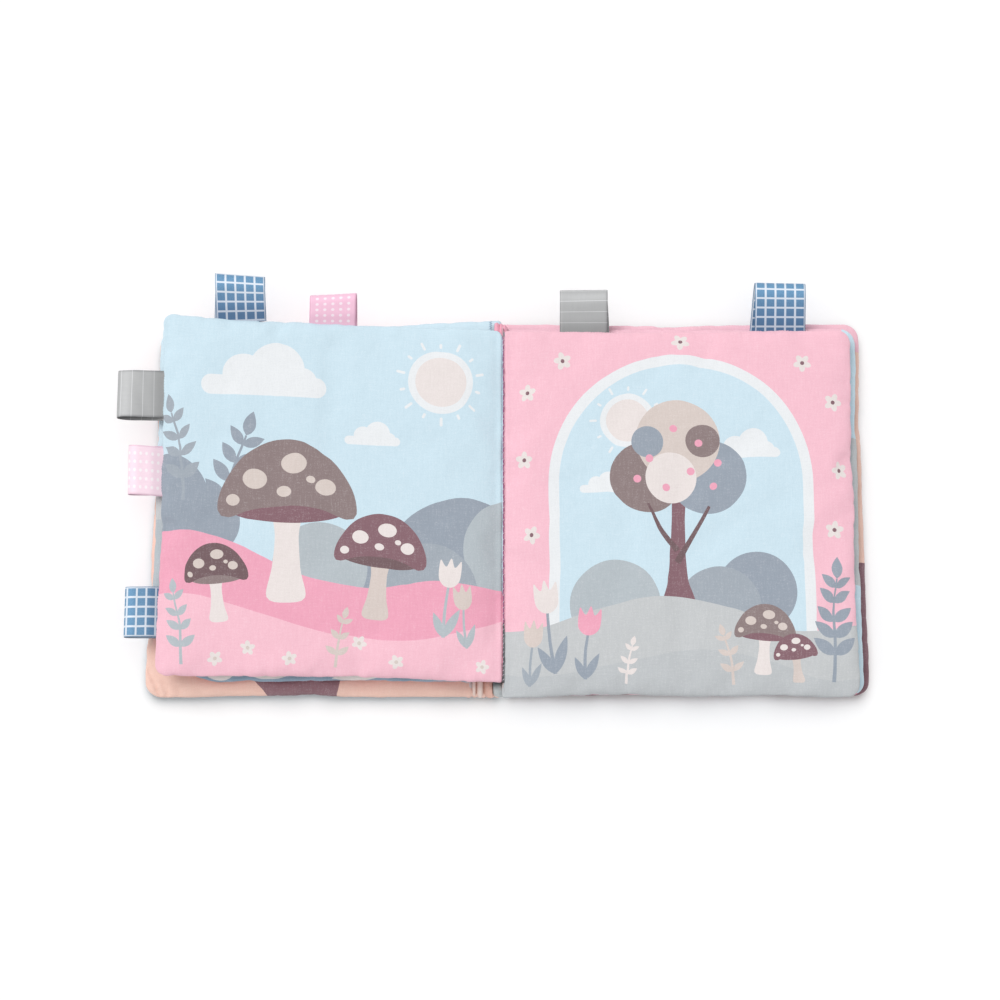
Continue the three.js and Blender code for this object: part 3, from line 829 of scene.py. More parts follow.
def page_front(W, H):
    a = [("slate", box(-9, -9, W + 9, H + 9))]
    a += [("white", circle(W / 2, H / 2 + 6, 58)), ("sky", circle(W / 2, H / 2 + 6, 53))]
    a += sun(W / 2 + 22, H / 2 + 30, 10, "cream", n=12)
    a += cloud(W / 2 - 20, H / 2 + 22, 34)
    a += tree(W / 2 - 6, H / 2 - 22, 52, "plum", (("mist", 0.14, 0.66, 0.19), ("taupe", -0.14, 0.66, 0.18), ("sand", 0.0, 0.84, 0.19)))
    hill = []
    for k in range(60):
        t = math.radians(200 + 140 * k / 59)
        hill.append((W / 2 + 53 * math.cos(t), H / 2 + 6 + 53 * math.sin(t)))
    a += [("rose", np.array(hill + [(W / 2 + 26, H / 2 - 14), (W / 2, H / 2 - 18), (W / 2 - 26, H / 2 - 16)]))]
    for x, y, deg in ((24, 30, 12), (W - 24, 30, -12), (22, H - 44, 20), (W - 22, H - 44, -20)):
        a += sprig(x, y - 8, 32, deg, 4, "cream", 1.0, 1.4)
    return a


def page_back(W, H):
    a = [("plum", box(-9, -9, W + 9, H + 9))]
    row = 0
    y = 12.0
    while y < H - 6:
        x = 16.0 + (17 if row % 2 else 0)
        while x < W - 6:
            a += [("sand" if (row + int(x)) % 2 else "cream", turned(leaf_shape(11, 5.2), x, y - 4, 35 if row % 2 else -35))]
            x += 34.0
        y += 17.0
        row += 1
    return a


DESIGNS = {
    "left_top_leaf": (page_left_top, page_cream_dots),
    "left_middle_leaf": (page_left_middle, page_pink_checks),
    "left_cover": (page_left_cover, page_front),
    "right_top_leaf": (page_right_top, page_sky_clouds),
    "right_middle_leaf": (page_right_middle, page_stripes),
    "right_cover": (page_right_cover, page_back),
}


# ------------------------------------------------------------- print to triangles
def inside(poly, P):
    lo, hi = poly.min(0), poly.max(0)
    ok = np.where((P[:, 0] > lo[0]) & (P[:, 0] < hi[0]) & (P[:, 1] > lo[1]) & (P[:, 1] < hi[1]))[0]
    if not len(ok):
        return ok
    x, y = P[ok, 0], P[ok, 1]
    c = np.zeros(len(ok), bool)
    q = np.roll(poly, -1, axis=0)
    for (x0, y0), (x1, y1) in zip(poly, q):
        if y0 == y1:
            continue
        cross = ((y0 > y) != (y1 > y)) & (x < (x1 - x0) * (y - y0) / (y1 - y0) + x0)
        c ^= cross
    return ok[c]


def clip_segment(p, q, W, H):
    d = q - p
    t0, t1 = 0.0, 1.0
    for a, b, lo, hi in ((p[0], d[0], 0.0, W), (p[1], d[1], 0.0, H)):
        if abs(b) < 1e-12:
            if a < lo or a > hi:
                return None
            continue
        u, v = (lo - a) / b, (hi - a) / b
        if u > v:
            u, v = v, u
        t0, t1 = max(t0, u), min(t1, v)
        if t0 >= t1 - 1e-9:
            return None
    return p + d * t0, p + d * t1


def snap(p, W, H):
    """Points on the page's edge go to a fixed 0.05 mm step, so both panels agree."""
    x, y = float(p[0]), float(p[1])
    ex = 0.0 if x < 0.03 else (W if x > W - 0.03 else None)
    ey = 0.0 if y < 0.03 else (H if y > H - 0.03 else None)
    if ex is None and ey is None:
        return x, y, False
    if ex is not None:
        y = ey if ey is not None else min(max(round(y / 0.05) * 0.05, 0.0), H)
        return ex, y, True
    x = min(max(round(x / 0.05) * 0.05, 0.0), W)
    return x, ey, True


def panel_segments(polys, W, H):
    segs, border = [], set()
    for _, poly in polys:
        q = np.roll(poly, -1, axis=0)
        for a, b in zip(poly, q):
            c = clip_segment(a, b, W, H)
            if c is None or np.hypot(*(c[1] - c[0])) < 1e-3:
                continue
            pa, pb = snap(c[0], W, H), snap(c[1], W, H)
            for p in (pa, pb):
                if p[2]:
                    border.add((p[0], p[1]))
            if pa[2] and pb[2] and (pa[0] == pb[0] or pa[1] == pb[1]):
                continue
            # short steps, so that a straight edge follows the stuffed surface
            x0, y0, x1, y1 = pa[0], pa[1], pb[0], pb[1]
            length = math.hypot(x1 - x0, y1 - y0)
            at = [0.0]
            s = 0.0
            while s < length - 1e-6:
                f = s / length
                x, y = x0 + (x1 - x0) * f, y0 + (y1 - y0) * f
                rim = min(x, y, W - x, H - y)
                s += 0.45 if rim < 2.5 else (0.8 if rim < 8 else 1.4)
                if length - s < 0.3:
                    s = length
                at.append(min(s, length) / length)
            pts = [(x0 + (x1 - x0) * f, y0 + (y1 - y0) * f) for f in at]
            pts[0], pts[-1] = (x0, y0), (x1, y1)
            segs += list(zip(pts[:-1], pts[1:]))
    return segs, border


def edge_samples(length):
    n = int(length / 1.5)
    s = list(np.linspace(0, length, n + 1))
    s += [0.4, 0.8, 1.2, 2.2, 3.7, length - 0.4, length - 0.8, length - 1.2, length - 2.2, length - 3.7]
    return sorted({min(max(round(v / 0.05) * 0.05, 0.0), length) for v in s if 0 < v < length} | {0.0, length})


def grid_points(W, H):
    pts = []
    for k, d in enumerate((0.22, 0.55, 1.0, 1.6, 2.4, 3.4, 4.6, 6.2, 8.0)):
        step = 1.35 if d < 4 else 1.8
        off = 0.5 * (k % 2)
        for L, f in ((W - 2 * d, lambda s: (d + s, d)), (W - 2 * d, lambda s: (d + s, H - d)),
                     (H - 2 * d, lambda s: (d, d + s)), (H - 2 * d, lambda s: (W - d, d + s))):
            n = int(L / step)
            for i in range(n + 1):
                s = (i + off) * L / n
                if s <= L:
                    pts.append(f(s))
    nx_, ny_ = int((W - 20) / 2.6), int((H - 20) / 2.6)
    for j in range(ny_ + 1):
        for i in range(nx_ + 1):
            x = 10 + (i + 0.5 * (j % 2)) * (W - 20) / nx_
            if x <= W - 9.5:
                pts.append((x, 10 + j * (H - 20) / ny_))
    return pts


def triangulate(polys, W, H, border):
    """Panel mesh whose edges follow the print."""
    segs, _ = panel_segments(polys, W, H)
    index, verts, edges = {}, [], []

    def vid(p):
        key = (round(p[0], 4), round(p[1], 4))
        if key not in index:
            index[key] = len(verts)
            verts.append(p)
        return index[key]

    for p in border:
        vid(p)
    for a, b in segs:
        i, j = vid(a), vid(b)
        if i != j:
            edges.append((i, j))
    # free points keep clear of the print's edges
    marks = []
    for a, b in segs:
        n = max(1, int(math.hypot(b[0] - a[0], b[1] - a[1]) / 0.8))
        for k in range(n + 1):
            f = k / n
            marks.append((a[0] + (b[0] - a[0]) * f, a[1] + (b[1] - a[1]) * f))
    marks += list(border)
    tree_ = kdtree.KDTree(max(1, len(marks)))
    for k, m_ in enumerate(marks):
        tree_.insert((m_[0], m_[1], 0.0), k)
    tree_.balance()
    for p in grid_points(W, H):
        d = min(p[0], p[1], W - p[0], H - p[1])
        gap = 0.14 if d < 0.5 else (0.4 if d < 8.5 else 0.75)
        if tree_.find((p[0], p[1], 0.0))[2] > gap:
            vid(p)
    res = delaunay_2d_cdt([Vector(v) for v in verts], edges, [], 0, 1e-5, True)
    P = np.array([(v.x, v.y) for v in res[0]])
    T = np.array([f for f in res[2] if len(f) == 3], int)
    for col, L in ((0, W), (1, H)):
        P[np.abs(P[:, col]) < 1e-3, col] = 0.0
        P[np.abs(P[:, col] - L) < 1e-3, col] = L
    C = P[T].mean(1)
    a, b, c = P[T[:, 0]], P[T[:, 1]], P[T[:, 2]]
    area = (b[:, 0] - a[:, 0]) * (c[:, 1] - a[:, 1]) - (b[:, 1] - a[:, 1]) * (c[:, 0] - a[:, 0])
    T[area < 0] = T[area < 0][:, ::-1]
    keep = np.abs(area) > 1e-7
    T, C = T[keep], C[keep]
    colour = np.zeros((len(T), 4))
    for name, poly in polys:
        colour[inside(poly, C)] = lin4(RGB[name])
    return P, T, colour


def build_leaf(key):
    leaf = LEAVES[key]
    W, H = leaf.W, leaf.H
    sides = []
    for up in (True, False):
        design = DESIGNS[key][0 if up else 1](W, H)
        # reader's x runs from the fore edge on a left page, from the spine on a right
        mirrored = leaf.left == up
        polys = []
        for colour, poly in design:
            poly = np.asarray(poly, float).copy()
            if mirrored:
                poly[:, 0] = W - poly[:, 0]
            polys.append((colour, poly))
        sides.append((up, mirrored, polys))
    border = set()
    for s in edge_samples(W):
        border |= {(s, 0.0), (s, H)}
    for s in edge_samples(H):
        border |= {(0.0, s), (W, s)}
    for _, _, polys in sides:
        border |= panel_segments(polys, W, H)[1]
    border = sorted(border)
    verts, faces, cols, uvs, shared = [], [], [], [], {}
    total = 0
    for up, mirrored, polys in sides:
        P, T, colour = triangulate(polys, W, H, border)
        XYZ = leaf.point(P[:, 0], P[:, 1], up)
        ids = np.zeros(len(P), int)
        for k, (p, q) in enumerate(zip(P, XYZ)):
            on = p[0] == 0.0 or p[0] == W or p[1] == 0.0 or p[1] == H
            mark = (round(p[0], 3), round(p[1], 3)) if on else None
            if mark is not None and mark in shared:
                ids[k] = shared[mark]
                continue
            ids[k] = len(verts)
            if mark is not None:
                shared[mark] = len(verts)
            verts.append(q)
        F = ids[T]
        if leaf.left == up:
            F = F[:, ::-1]
        faces.append(F)
        cols.append(colour)
        rx = (W - P[:, 0]) if mirrored else P[:, 0]
        uv = np.stack([rx + (0 if up else 400), P[:, 1]], -1)
        TT = T[:, ::-1] if leaf.left == up else T
        uvs.append(uv[TT].reshape(-1, 2))
    F = np.concatenate(faces)
    me = bpy.data.meshes.new(key + "_cloth")
    me.from_pydata((np.array(verts) * MM).tolist(), [], F.tolist())
    me.update()
    me.polygons.foreach_set("use_smooth", [True] * len(me.polygons))
    ob = bpy.data.objects.new(key + "_cloth", me)
    scene.collection.objects.link(ob)
    layer = me.uv_layers.new(name="cloth")
    layer.data.foreach_set("uv", (np.concatenate(uvs) * 0.01).reshape(-1).astype(np.float32))
    att = me.color_attributes.new(name="print", type="FLOAT_COLOR", domain="CORNER")
    att.data.foreach_set("color", np.repeat(np.concatenate(cols), 3, axis=0).reshape(-1).astype(np.float32))
    return ob


# ===================================================================== materials
class Nodes:
    def __init__(self, name):
        self.mat = bpy.data.materials.new(name)
        self.mat.use_nodes = True
        self.nt = self.mat.node_tree
        self.bsdf = next(n for n in self.nt.nodes if n.type == "BSDF_PRINCIPLED")

    def add(self, kind, **props):
        n = self.nt.nodes.new(kind)
        for k, v in props.items():
            setattr(n, k, v)
        return n

    def put(self, socket, value):
        if isinstance(value, bpy.types.NodeSocket):
            self.nt.links.new(value, socket)
        else:
            socket.default_value = value

    def math(self, op, a, b=None, c=None, clamp=False):
        n = self.add("ShaderNodeMath", operation=op, use_clamp=clamp)
        for s, v in zip(n.inputs, (a, b, c)):
            if v is not None:
                self.put(s, v)
        return n.outputs[0]

    def uv(self, name, scale=100.0):
        u = self.add("ShaderNodeUVMap", uv_map=name)
        m = self.add("ShaderNodeVectorMath", operation="SCALE")
        self.put(m.inputs[0], u.outputs[0])
        m.inputs["Scale"].default_value = scale
        s = self.add("ShaderNodeSeparateXYZ")
        self.put(s.inputs[0], m.outputs[0])
        return m.outputs[0], s.outputs[0], s.outputs[1]

    def vec(self, x, y, z=0.0):
        c = self.add("ShaderNodeCombineXYZ")
        for s, v in zip(c.inputs, (x, y, z)):
            self.put(s, v)
        return c.outputs[0]

    def noise(self, vector, scale, detail=2.0, rough=0.5):
        n = self.add("ShaderNodeTexNoise")
        self.put(n.inputs["Vector"], vector)
        n.inputs["Scale"].default_value = scale
        n.inputs["Detail"].default_value = detail
        n.inputs["Roughness"].default_value = rough
        return n.outputs[0]

    def ramp(self, value, a, b, lo=0.0, hi=1.0):
        n = self.add("ShaderNodeMapRange", interpolation_type="SMOOTHSTEP", clamp=True)
        self.put(n.inputs[0], value)
        n.inputs[1].default_value, n.inputs[2].default_value = a, b
        n.inputs[3].default_value, n.inputs[4].default_value = lo, hi
        return n.outputs[0]

    def mix(self, fac, a, b, blend="MIX"):
        n = self.add("ShaderNodeMix", data_type="RGBA", blend_type=blend)
        self.put(n.inputs[0], fac)
        for s, v in ((n.inputs[6], a), (n.inputs[7], b)):
            if isinstance(v, tuple) and len(v) == 3:
                v = v + (1.0,)
            self.put(s, v)
        return n.outputs[2]

    def scaled(self, colour, value):
        n = self.add("ShaderNodeVectorMath", operation="SCALE")
        self.put(n.inputs[0], colour)
        self.put(n.inputs["Scale"], value)
        return n.outputs[0]

    def bump(self, height, distance, strength=1.0, normal=None):
        n = self.add("ShaderNodeBump")
        self.put(n.inputs["Height"], height)
        n.inputs["Distance"].default_value = distance
        n.inputs["Strength"].default_value = strength
        if normal is not None:
            self.put(n.inputs["Normal"], normal)
        return n.outputs[0]


INK = 0.865      # prints and threads against the brightness of the lamps


def plain_weave(N, u, v, pitch):
    """Height of a plain weave, with threads a pitch apart (mm)."""
    a = N.math("SINE", N.math("MULTIPLY", u, math.pi / pitch))
    b = N.math("SINE", N.math("MULTIPLY", v, math.pi / pitch))
    return N.math("POWER", N.math("ABSOLUTE", N.math("MULTIPLY", a, b)), 0.6)


def slubs(N, u, v, across=1.25, along=0.17):
    """Uneven threads running both ways, -0.5..0.5 or so."""
    h = N.noise(N.vec(N.math("MULTIPLY", u, along), N.math("MULTIPLY", v, across), 3.1), 1.0, 3.0, 0.62)
    w = N.noise(N.vec(N.math("MULTIPLY", u, across), N.math("MULTIPLY", v, along), 7.7), 1.0, 3.0, 0.62)
    return N.math("SUBTRACT", h, 0.5), N.math("SUBTRACT", w, 0.5)


def cloth_material(name, depth=1.0):
    N = Nodes(name)
    P, u, v = N.uv("cloth")
    att = N.add("ShaderNodeAttribute", attribute_name="print", attribute_type="GEOMETRY")
    base = N.scaled(att.outputs["Color"], INK)
    h, w = slubs(N, u, v)
    threads = N.math("ADD", h, N.math("MULTIPLY", w, 1.25))
    grain = N.math("SUBTRACT", N.noise(P, 1.55, 3.0, 0.7), 0.5)
    cloudy = N.math("SUBTRACT", N.noise(P, 0.03, 3.0, 0.55), 0.5)
    weave = plain_weave(N, u, v, 0.46)
    light = N.math("ADD", 1.0, N.math("MULTIPLY", threads, 0.085 * depth))
    light = N.math("ADD", light, N.math("MULTIPLY", grain, 0.21 * depth))
    light = N.math("ADD", light, N.math("MULTIPLY", cloudy, 0.05))
    light = N.math("ADD", light, N.math("MULTIPLY", N.math("SUBTRACT", weave, 0.6), 0.05))
    colour = N.scaled(base, light)
    # ink leaves the thread tops a little pale: shows most on the dark prints
    pale = N.ramp(N.math("ADD", N.math("MULTIPLY", threads, 0.55), N.math("MULTIPLY", grain, 1.3)), 0.0, 0.45, 0.0, 0.24 * depth)
    colour = N.mix(pale, colour, (0.86 * INK, 0.84 * INK, 0.85 * INK))
    N.put(N.bsdf.inputs["Base Color"], colour)
    rough = N.math("ADD", 0.80, N.math("MULTIPLY", grain, 0.18))
    N.put(N.bsdf.inputs["Roughness"], rough)
    N.bsdf.inputs["Specular IOR Level"].default_value = 0.22
    N.bsdf.inputs["Sheen Weight"].default_value = 0.10
    N.bsdf.inputs["Sheen Roughness"].default_value = 0.55
    height = N.math("ADD", N.math("MULTIPLY", weave, 0.55), N.math("MULTIPLY", threads, 0.9))
    fine = N.bump(height, 0.00007, 0.55)
    soft = N.bump(N.noise(P, 0.16, 2.0, 0.5), 0.0006, 0.5, fine)
    N.put(N.bsdf.inputs["Normal"], soft)
    return N.mat


def ribbon_base(N, u, v, colour, ribs=0.36, sheen=0.3, rough=0.42, grain=0.05, painted_light_strength=0.6):
    P = N.vec(u, v, 0.0)
    rib = N.math("ABSOLUTE", N.math("SINE", N.math("MULTIPLY", v, math.pi / ribs)))
    warp = N.noise(N.vec(N.math("MULTIPLY", u, 3.4), N.math("MULTIPLY", v, 0.16), 1.7), 1.0, 2.0)
    g = N.math("SUBTRACT", N.noise(P, 3.2, 2.0), 0.5)
    light = N.math("ADD", 1.0, N.math("MULTIPLY", N.math("SUBTRACT", rib, 0.6), grain))
    light = N.math("ADD", light, N.math("MULTIPLY", N.math("SUBTRACT", warp, 0.5), grain * 2.4))
    light = N.math("ADD", light, N.math("MULTIPLY", g, grain * 1.6))
    # painted highlight and shade: the colour is scaled by a per-point value along the ribbon, brighter at the bend and
    # darker at the seam and inside
    painted_highlight_shade = N.add("ShaderNodeAttribute", attribute_name="painted_highlight_shade", attribute_type="GEOMETRY")
    light = N.math("MULTIPLY", light, N.math("ADD", 1.0, N.math("MULTIPLY", painted_highlight_shade.outputs["Fac"], painted_light_strength)))
    N.put(N.bsdf.inputs["Base Color"], N.scaled(colour, N.math("MULTIPLY", light, INK)))
    N.put(N.bsdf.inputs["Roughness"], N.math("ADD", rough, N.math("MULTIPLY", g, 0.2)))
    N.bsdf.inputs["Sheen Weight"].default_value = sheen
    N.bsdf.inputs["Sheen Roughness"].default_value = 0.4
    N.put(N.bsdf.inputs["Normal"], N.bump(N.math("ADD", rib, N.math("MULTIPLY", warp, 0.6)), 0.00006, 0.6))


def stripe(N, value, centre_period, half, soft=0.10, shift=0.0):
    """1 on lines centred on multiples of the period."""
    m = N.math("PINGPONG", N.math("ADD", value, shift), centre_period / 2)
    return N.ramp(m, half - soft, half + soft, 1.0, 0.0)


def check_ribbon():
    N = Nodes("ribbon_blue_check")
    P, u, v = N.uv("ribbon")
    lines_u = stripe(N, N.math("SUBTRACT", u, 12.5), 4.85, 0.50, 0.12, 4.85 / 2)
    lines_v = stripe(N, v, 4.75, 0.46, 0.12, 0.6)
    side = N.math("ABSOLUTE", N.math("SUBTRACT", u, 12.5))
    # white line, then a narrow blue selvage
    selvage = N.ramp(side, 12.08, 12.18, 0.0, 1.0)
    both = N.math("MAXIMUM", lines_u, lines_v)
    both = N.math("MULTIPLY", both, N.math("SUBTRACT", 1.0, N.math("MULTIPLY", selvage, 0.85)))
    flecks = N.noise(N.vec(N.math("MULTIPLY", u, 2.2), N.math("MULTIPLY", v, 2.2), 0.4), 1.0, 3.0, 0.7)
    blue = N.mix(N.ramp(flecks, 0.3, 0.72), lin((88, 138, 178)), lin((114, 160, 197)))
    # painted shade and highlight: the print's blue and white are made paler at the fold and darker towards the seam
    deep = N.ramp(N.math("ABSOLUTE", v), 3.0, 23.0, 0.0, 1.0)
    blue = N.mix(N.math("MULTIPLY", deep, 0.85), blue, lin((66, 106, 150)))
    white = N.mix(N.math("MULTIPLY", deep, 0.6), lin((222, 231, 242)), lin((188, 196, 217)))
    colour = N.mix(both, blue, white)
    ribbon_base(N, u, v, colour, sheen=0.2, rough=0.55, grain=0.07)
    return N.mat


def dot_ribbon(name, ground, edge, dots):
    N = Nodes(name)
    P, u, v = N.uv("ribbon")
    a = N.math("PINGPONG", N.math("SUBTRACT", u, 12.5), 4.25 / 2)
    b = N.math("PINGPONG", N.math("ADD", v, 0.9), 2.9 / 2)
    a = N.math("DIVIDE", a, 1.0)
    b = N.math("DIVIDE", b, 0.78)
    r = N.math("SQRT", N.math("ADD", N.math("MULTIPLY", a, a), N.math("MULTIPLY", b, b)))
    dot = N.ramp(r, 0.62, 1.12, 0.92, 0.0)
    side = N.math("ABSOLUTE", N.math("SUBTRACT", u, 12.5))
    inner = N.ramp(side, 10.6, 11.2, 1.0, 0.0)
    dot = N.math("MULTIPLY", dot, inner)
    pink = N.mix(N.ramp(side, 11.6, 12.4, 0.0, 0.5), lin(ground), lin(edge))
    colour = N.mix(dot, pink, lin(dots))
    # with this strength of painted highlight and shade
    ribbon_base(N, u, v, colour, sheen=0.25, rough=0.48, grain=0.045, painted_light_strength=0.35)
    return N.mat


def stripe_ribbon():
    N = Nodes("ribbon_grey_stripe")
    P, u, v = N.uv("ribbon")
    line = stripe(N, v, 5.5, 0.13, 0.10, 1.2)
    side = N.math("ABSOLUTE", N.math("SUBTRACT", u, 12.5))
    grey = N.mix(N.ramp(side, 11.5, 12.4, 0.0, 0.5), lin((177, 178, 179)), lin((154, 155, 158)))
    colour = N.mix(N.math("MULTIPLY", line, 0.75), grey, lin((228, 229, 231)))
    # with this strength of painted highlight and shade
    ribbon_base(N, u, v, colour, sheen=0.15, rough=0.34, grain=0.05, painted_light_strength=1.0)
    N.bsdf.inputs["Anisotropic"].default_value = 0.4
    return N.mat


def thread_material(name, rgb):
    N = Nodes(name)
    tc = N.add("ShaderNodeTexCoord")
    n = N.noise(tc.outputs["Object"], 2600.0, 2.0)
    N.put(N.bsdf.inputs["Base Color"], N.mix(N.ramp(n, 0.3, 0.7), tuple(c * INK for c in lin(rgb)),
                                             tuple(min(1.0, c * 1.12 + 0.02) * INK for c in lin(rgb))))
    N.put(N.bsdf.inputs["Roughness"], N.math("ADD", 0.5, N.math("MULTIPLY", n, 0.2)))
    N.bsdf.inputs["Sheen Weight"].default_value = 0.2
    N.put(N.bsdf.inputs["Normal"], N.bump(n, 0.00004, 0.6))
    return N.mat


def floor_material():
    N = Nodes("pale_floor")
    tc = N.add("ShaderNodeTexCoord")
    n = N.noise(tc.outputs["Object"], 9.0, 3.0)
    N.put(N.bsdf.inputs["Base Color"], N.mix(n, (0.955, 0.955, 0.955), (0.97, 0.97, 0.97)))
    N.bsdf.inputs["Roughness"].default_value = 0.9
    N.bsdf.inputs["Specular IOR Level"].default_value = 0.1
    return N.mat


CLOTH = cloth_material("printed_cotton")
CHECK, STRIPE = check_ribbon(), stripe_ribbon()
DOT = dot_ribbon("ribbon_pink_dot", (248, 198, 222), (240, 172, 205), (253, 238, 247))
DOT_PALE = dot_ribbon("ribbon_pink_dot_pale", (254, 226, 240), (249, 202, 226), (255, 248, 252))
OVERLOCK = thread_material("pale_thread", (224, 212, 224))
DARK_THREAD = thread_material("slate_thread", (112, 128, 146))
SEAM_THREAD = thread_material("seam_thread", (158, 182, 202))
COVER_THREAD = thread_material("cover_thread", (206, 210, 216))

# ===================================================================== the leaves
for key in ("left_cover", "left_middle_leaf", "left_top_leaf", "right_cover", "right_middle_leaf", "right_top_leaf"):
    ob = build_leaf(key)
    ob.data.materials.append(CLOTH)
    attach(ob, key)
    nodes = [key + "_upper_panel", key + "_lower_panel", key + "_wadding"]
    if "middle" in key:
        nodes.append(key + "_crackle_film")
    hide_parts(*nodes)


# =================================================================== ribbon loops
def ribbon_loop(node, x, y, out_deg, length, width, body, material, z0=20.8, lean=0.0,
                shift=0.0, twist=0.0, high=2.7, low=-2.4, phase=0.0, flare=0.0, seed=1, skew=0.0):
    """A folded ribbon. lean: the fold goes sideways by so much; shift: how far the
    lower ply lies sideways at the seam; twist: one end of the fold stands higher;
    skew: one end of the fold reaches further out."""
    o = math.radians(out_deg)
    out = np.array([math.cos(o), math.sin(o)])
    side = np.array([-out[1], out[0]])           # across the ribbon
    L = length
    top = [(-2.4, 0.28), (-0.6, 0.5), (0.10 * L, 0.95), (0.3 * L, 1.75), (0.55 * L, high * 0.88),
           (0.78 * L, high), (0.91 * L, high * 0.82), (0.975 * L, high * 0.5)]
    fold = [(L, 0.0)]
    bot = [(0.975 * L, low * 0.5), (0.90 * L, low * 0.85), (0.76 * L, low), (0.5 * L, low * 0.86),
           (0.26 * L, low * 0.6), (0.08 * L, -0.9), (-0.6, -0.5), (-2.4, -0.28)]
    curve = spline(top + fold + bot, closed=False, step=0.45)
    seg = np.linalg.norm(np.diff(curve, axis=0), axis=1)
    s = np.concatenate([[0], np.cumsum(seg)])
    at_fold = s[np.argmax(curve[:, 0])]
    n = len(curve)
    t = np.gradient(curve, axis=0)
    t /= np.linalg.norm(t, axis=1, keepdims=True)
    nrm = np.stack([-t[:, 1], t[:, 0]], -1)
    wob = waves(seed, 4, 9, 30)
    m = 21
    cols = np.linspace(-1, 1, m)
    half_t = 0.19
    frac = np.clip(curve[:, 0] / L, 0, 1)
    lower = (s > at_fold).astype(float)
    lateral = lean * frac + shift * (1 - frac) * lower
    layers = []
    for sign in (1.0, -1.0):
        rows = []
        for k, c in enumerate(cols):
            w = c * width / 2 * (1 + flare * frac)
            thin = half_t * (1 - 0.55 * smoothstep(0.9, 1.0, abs(c)))
            zz = curve[:, 1] * (1 + twist * c * frac) + 0.10 * wob(s + 7 * c) * smoothstep(0.1, 0.5, frac) * (0.4 + 0.6 * abs(c))
            zz = zz - 0.22 * frac * (1 - c * c) * np.sign(curve[:, 1] + 1e-9) * 0.6
            oo = curve[:, 0] + (0.25 * twist * 4 + skew) * c * frac
            oo = oo + nrm[:, 0] * sign * thin
            zz = zz + nrm[:, 1] * sign * thin
            lat = w + lateral
            p = np.array([x, y])[None] + oo[:, None] * out[None] + lat[:, None] * side[None]
            rows.append(np.concatenate([p, (z0 + zz)[:, None]], -1))
        layers.append(np.stack(rows, 1))          # n, m, 3
    V = np.concatenate([layers[0].reshape(-1, 3), layers[1].reshape(-1, 3)])
    base = n * m
    F = []

    def a(i, j):
        return i * m + j

    def b(i, j):
        return base + i * m + j
    for i in range(n - 1):
        for j in range(m - 1):
            F.append((a(i, j), a(i, j + 1), a(i + 1, j + 1), a(i + 1, j)))
            F.append((b(i, j), b(i + 1, j), b(i + 1, j + 1), b(i, j + 1)))
    for i in range(n - 1):
        F.append((a(i, 0), a(i + 1, 0), b(i + 1, 0), b(i, 0)))
        F.append((a(i, m - 1), b(i, m - 1), b(i + 1, m - 1), a(i + 1, m - 1)))
    for j in range(m - 1):
        F.append((a(0, j), b(0, j), b(0, j + 1), a(0, j + 1)))
        F.append((a(n - 1, j), a(n - 1, j + 1), b(n - 1, j + 1), b(n - 1, j)))
    ob = new_object(node + "_ribbon", V, F, material)
    bm_fix_normals(ob)
    u = np.tile((cols + 1) * 12.5, n)
    v = np.repeat(s - at_fold + phase, m)
    uv = np.stack([u, v], -1)
    set_uv(ob, "ribbon", np.concatenate([uv, uv]))
    # painted highlight and shade: the ribbon's colour is made brighter where it bends, duller at the seam, and darker
    # on the inner ply
    fr = np.repeat(frac, m)
    outer_painted_light = 0.28 * np.exp(-((fr - 0.80) / 0.13) ** 2) - 0.10 * smoothstep(0.93, 1.0, fr) - 0.30 * (1 - smoothstep(0.0, 0.34, fr))
    inner = -0.26 - 0.24 * smoothstep(0.45, 0.95, fr)
    painted_highlight_shade = ob.data.attributes.new(name="painted_highlight_shade", type="FLOAT", domain="POINT")
    top_first = layers[0][n // 6, m // 2, 2] > layers[1][n // 6, m // 2, 2]
    pair = [outer_painted_light, inner] if top_first else [inner, outer_painted_light]
    painted_highlight_shade.data.foreach_set("value", np.concatenate(pair).astype(np.float32))
    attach(ob, body)
    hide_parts(node)
    return float(s[-1])


def bm_fix_normals(ob):
    import bmesh
    bm = bmesh.new()
    bm.from_mesh(ob.data)
    bmesh.ops.recalc_face_normals(bm, faces=bm.faces)
    bm.to_mesh(ob.data)
    bm.free()
    ob.data.update()


cut = {}
cut["1"] = ribbon_loop("blue_check_loop_left_head", -131.6, 95.4, 92, 22.0, 25, "left_top_leaf", CHECK,
                       shift=1.1, lean=0.3, twist=0.12, high=2.4, low=-2.2, phase=0.5, seed=11, skew=1.3)
cut["2"] = ribbon_loop("pink_dot_loop_left_head", -85.7, 93.0, 90, 14.2, 23.4, "left_top_leaf", DOT,
                       shift=-0.7, lean=-0.3, twist=-0.25, high=2.5, low=-2.4, phase=0.0, seed=12, skew=-0.35)
cut["3"] = ribbon_loop("grey_stripe_loop_right_head", 40.5, 88.4, 90, 21.0, 24, "right_top_leaf", STRIPE,
                       shift=-1.0, lean=-0.2, twist=-0.15, high=3.0, low=-2.6, phase=1.0, seed=13)
cut["4"] = ribbon_loop("blue_check_loop_right_head", 139.2, 88.4, 90, 24.6, 25.5, "right_top_leaf", CHECK,
                       shift=2.4, lean=-0.5, twist=0.22, high=2.8, low=-2.8, phase=-0.4, seed=14)
cut["5"] = ribbon_loop("grey_stripe_loop_left_side", -170.6, 55.6, 181, 22.2, 24, "left_top_leaf", STRIPE,
                       shift=1.3, lean=-0.3, twist=0.30, high=3.1, low=-2.8, phase=2.2, seed=15)
cut["6"] = ribbon_loop("pink_dot_loop_left_side", -170.6, 16.0, 180, 15.8, 25, "left_top_leaf", DOT_PALE,
                       shift=-0.8, lean=-1.0, twist=-0.12, high=2.2, low=-2.2, phase=0.6, seed=16)
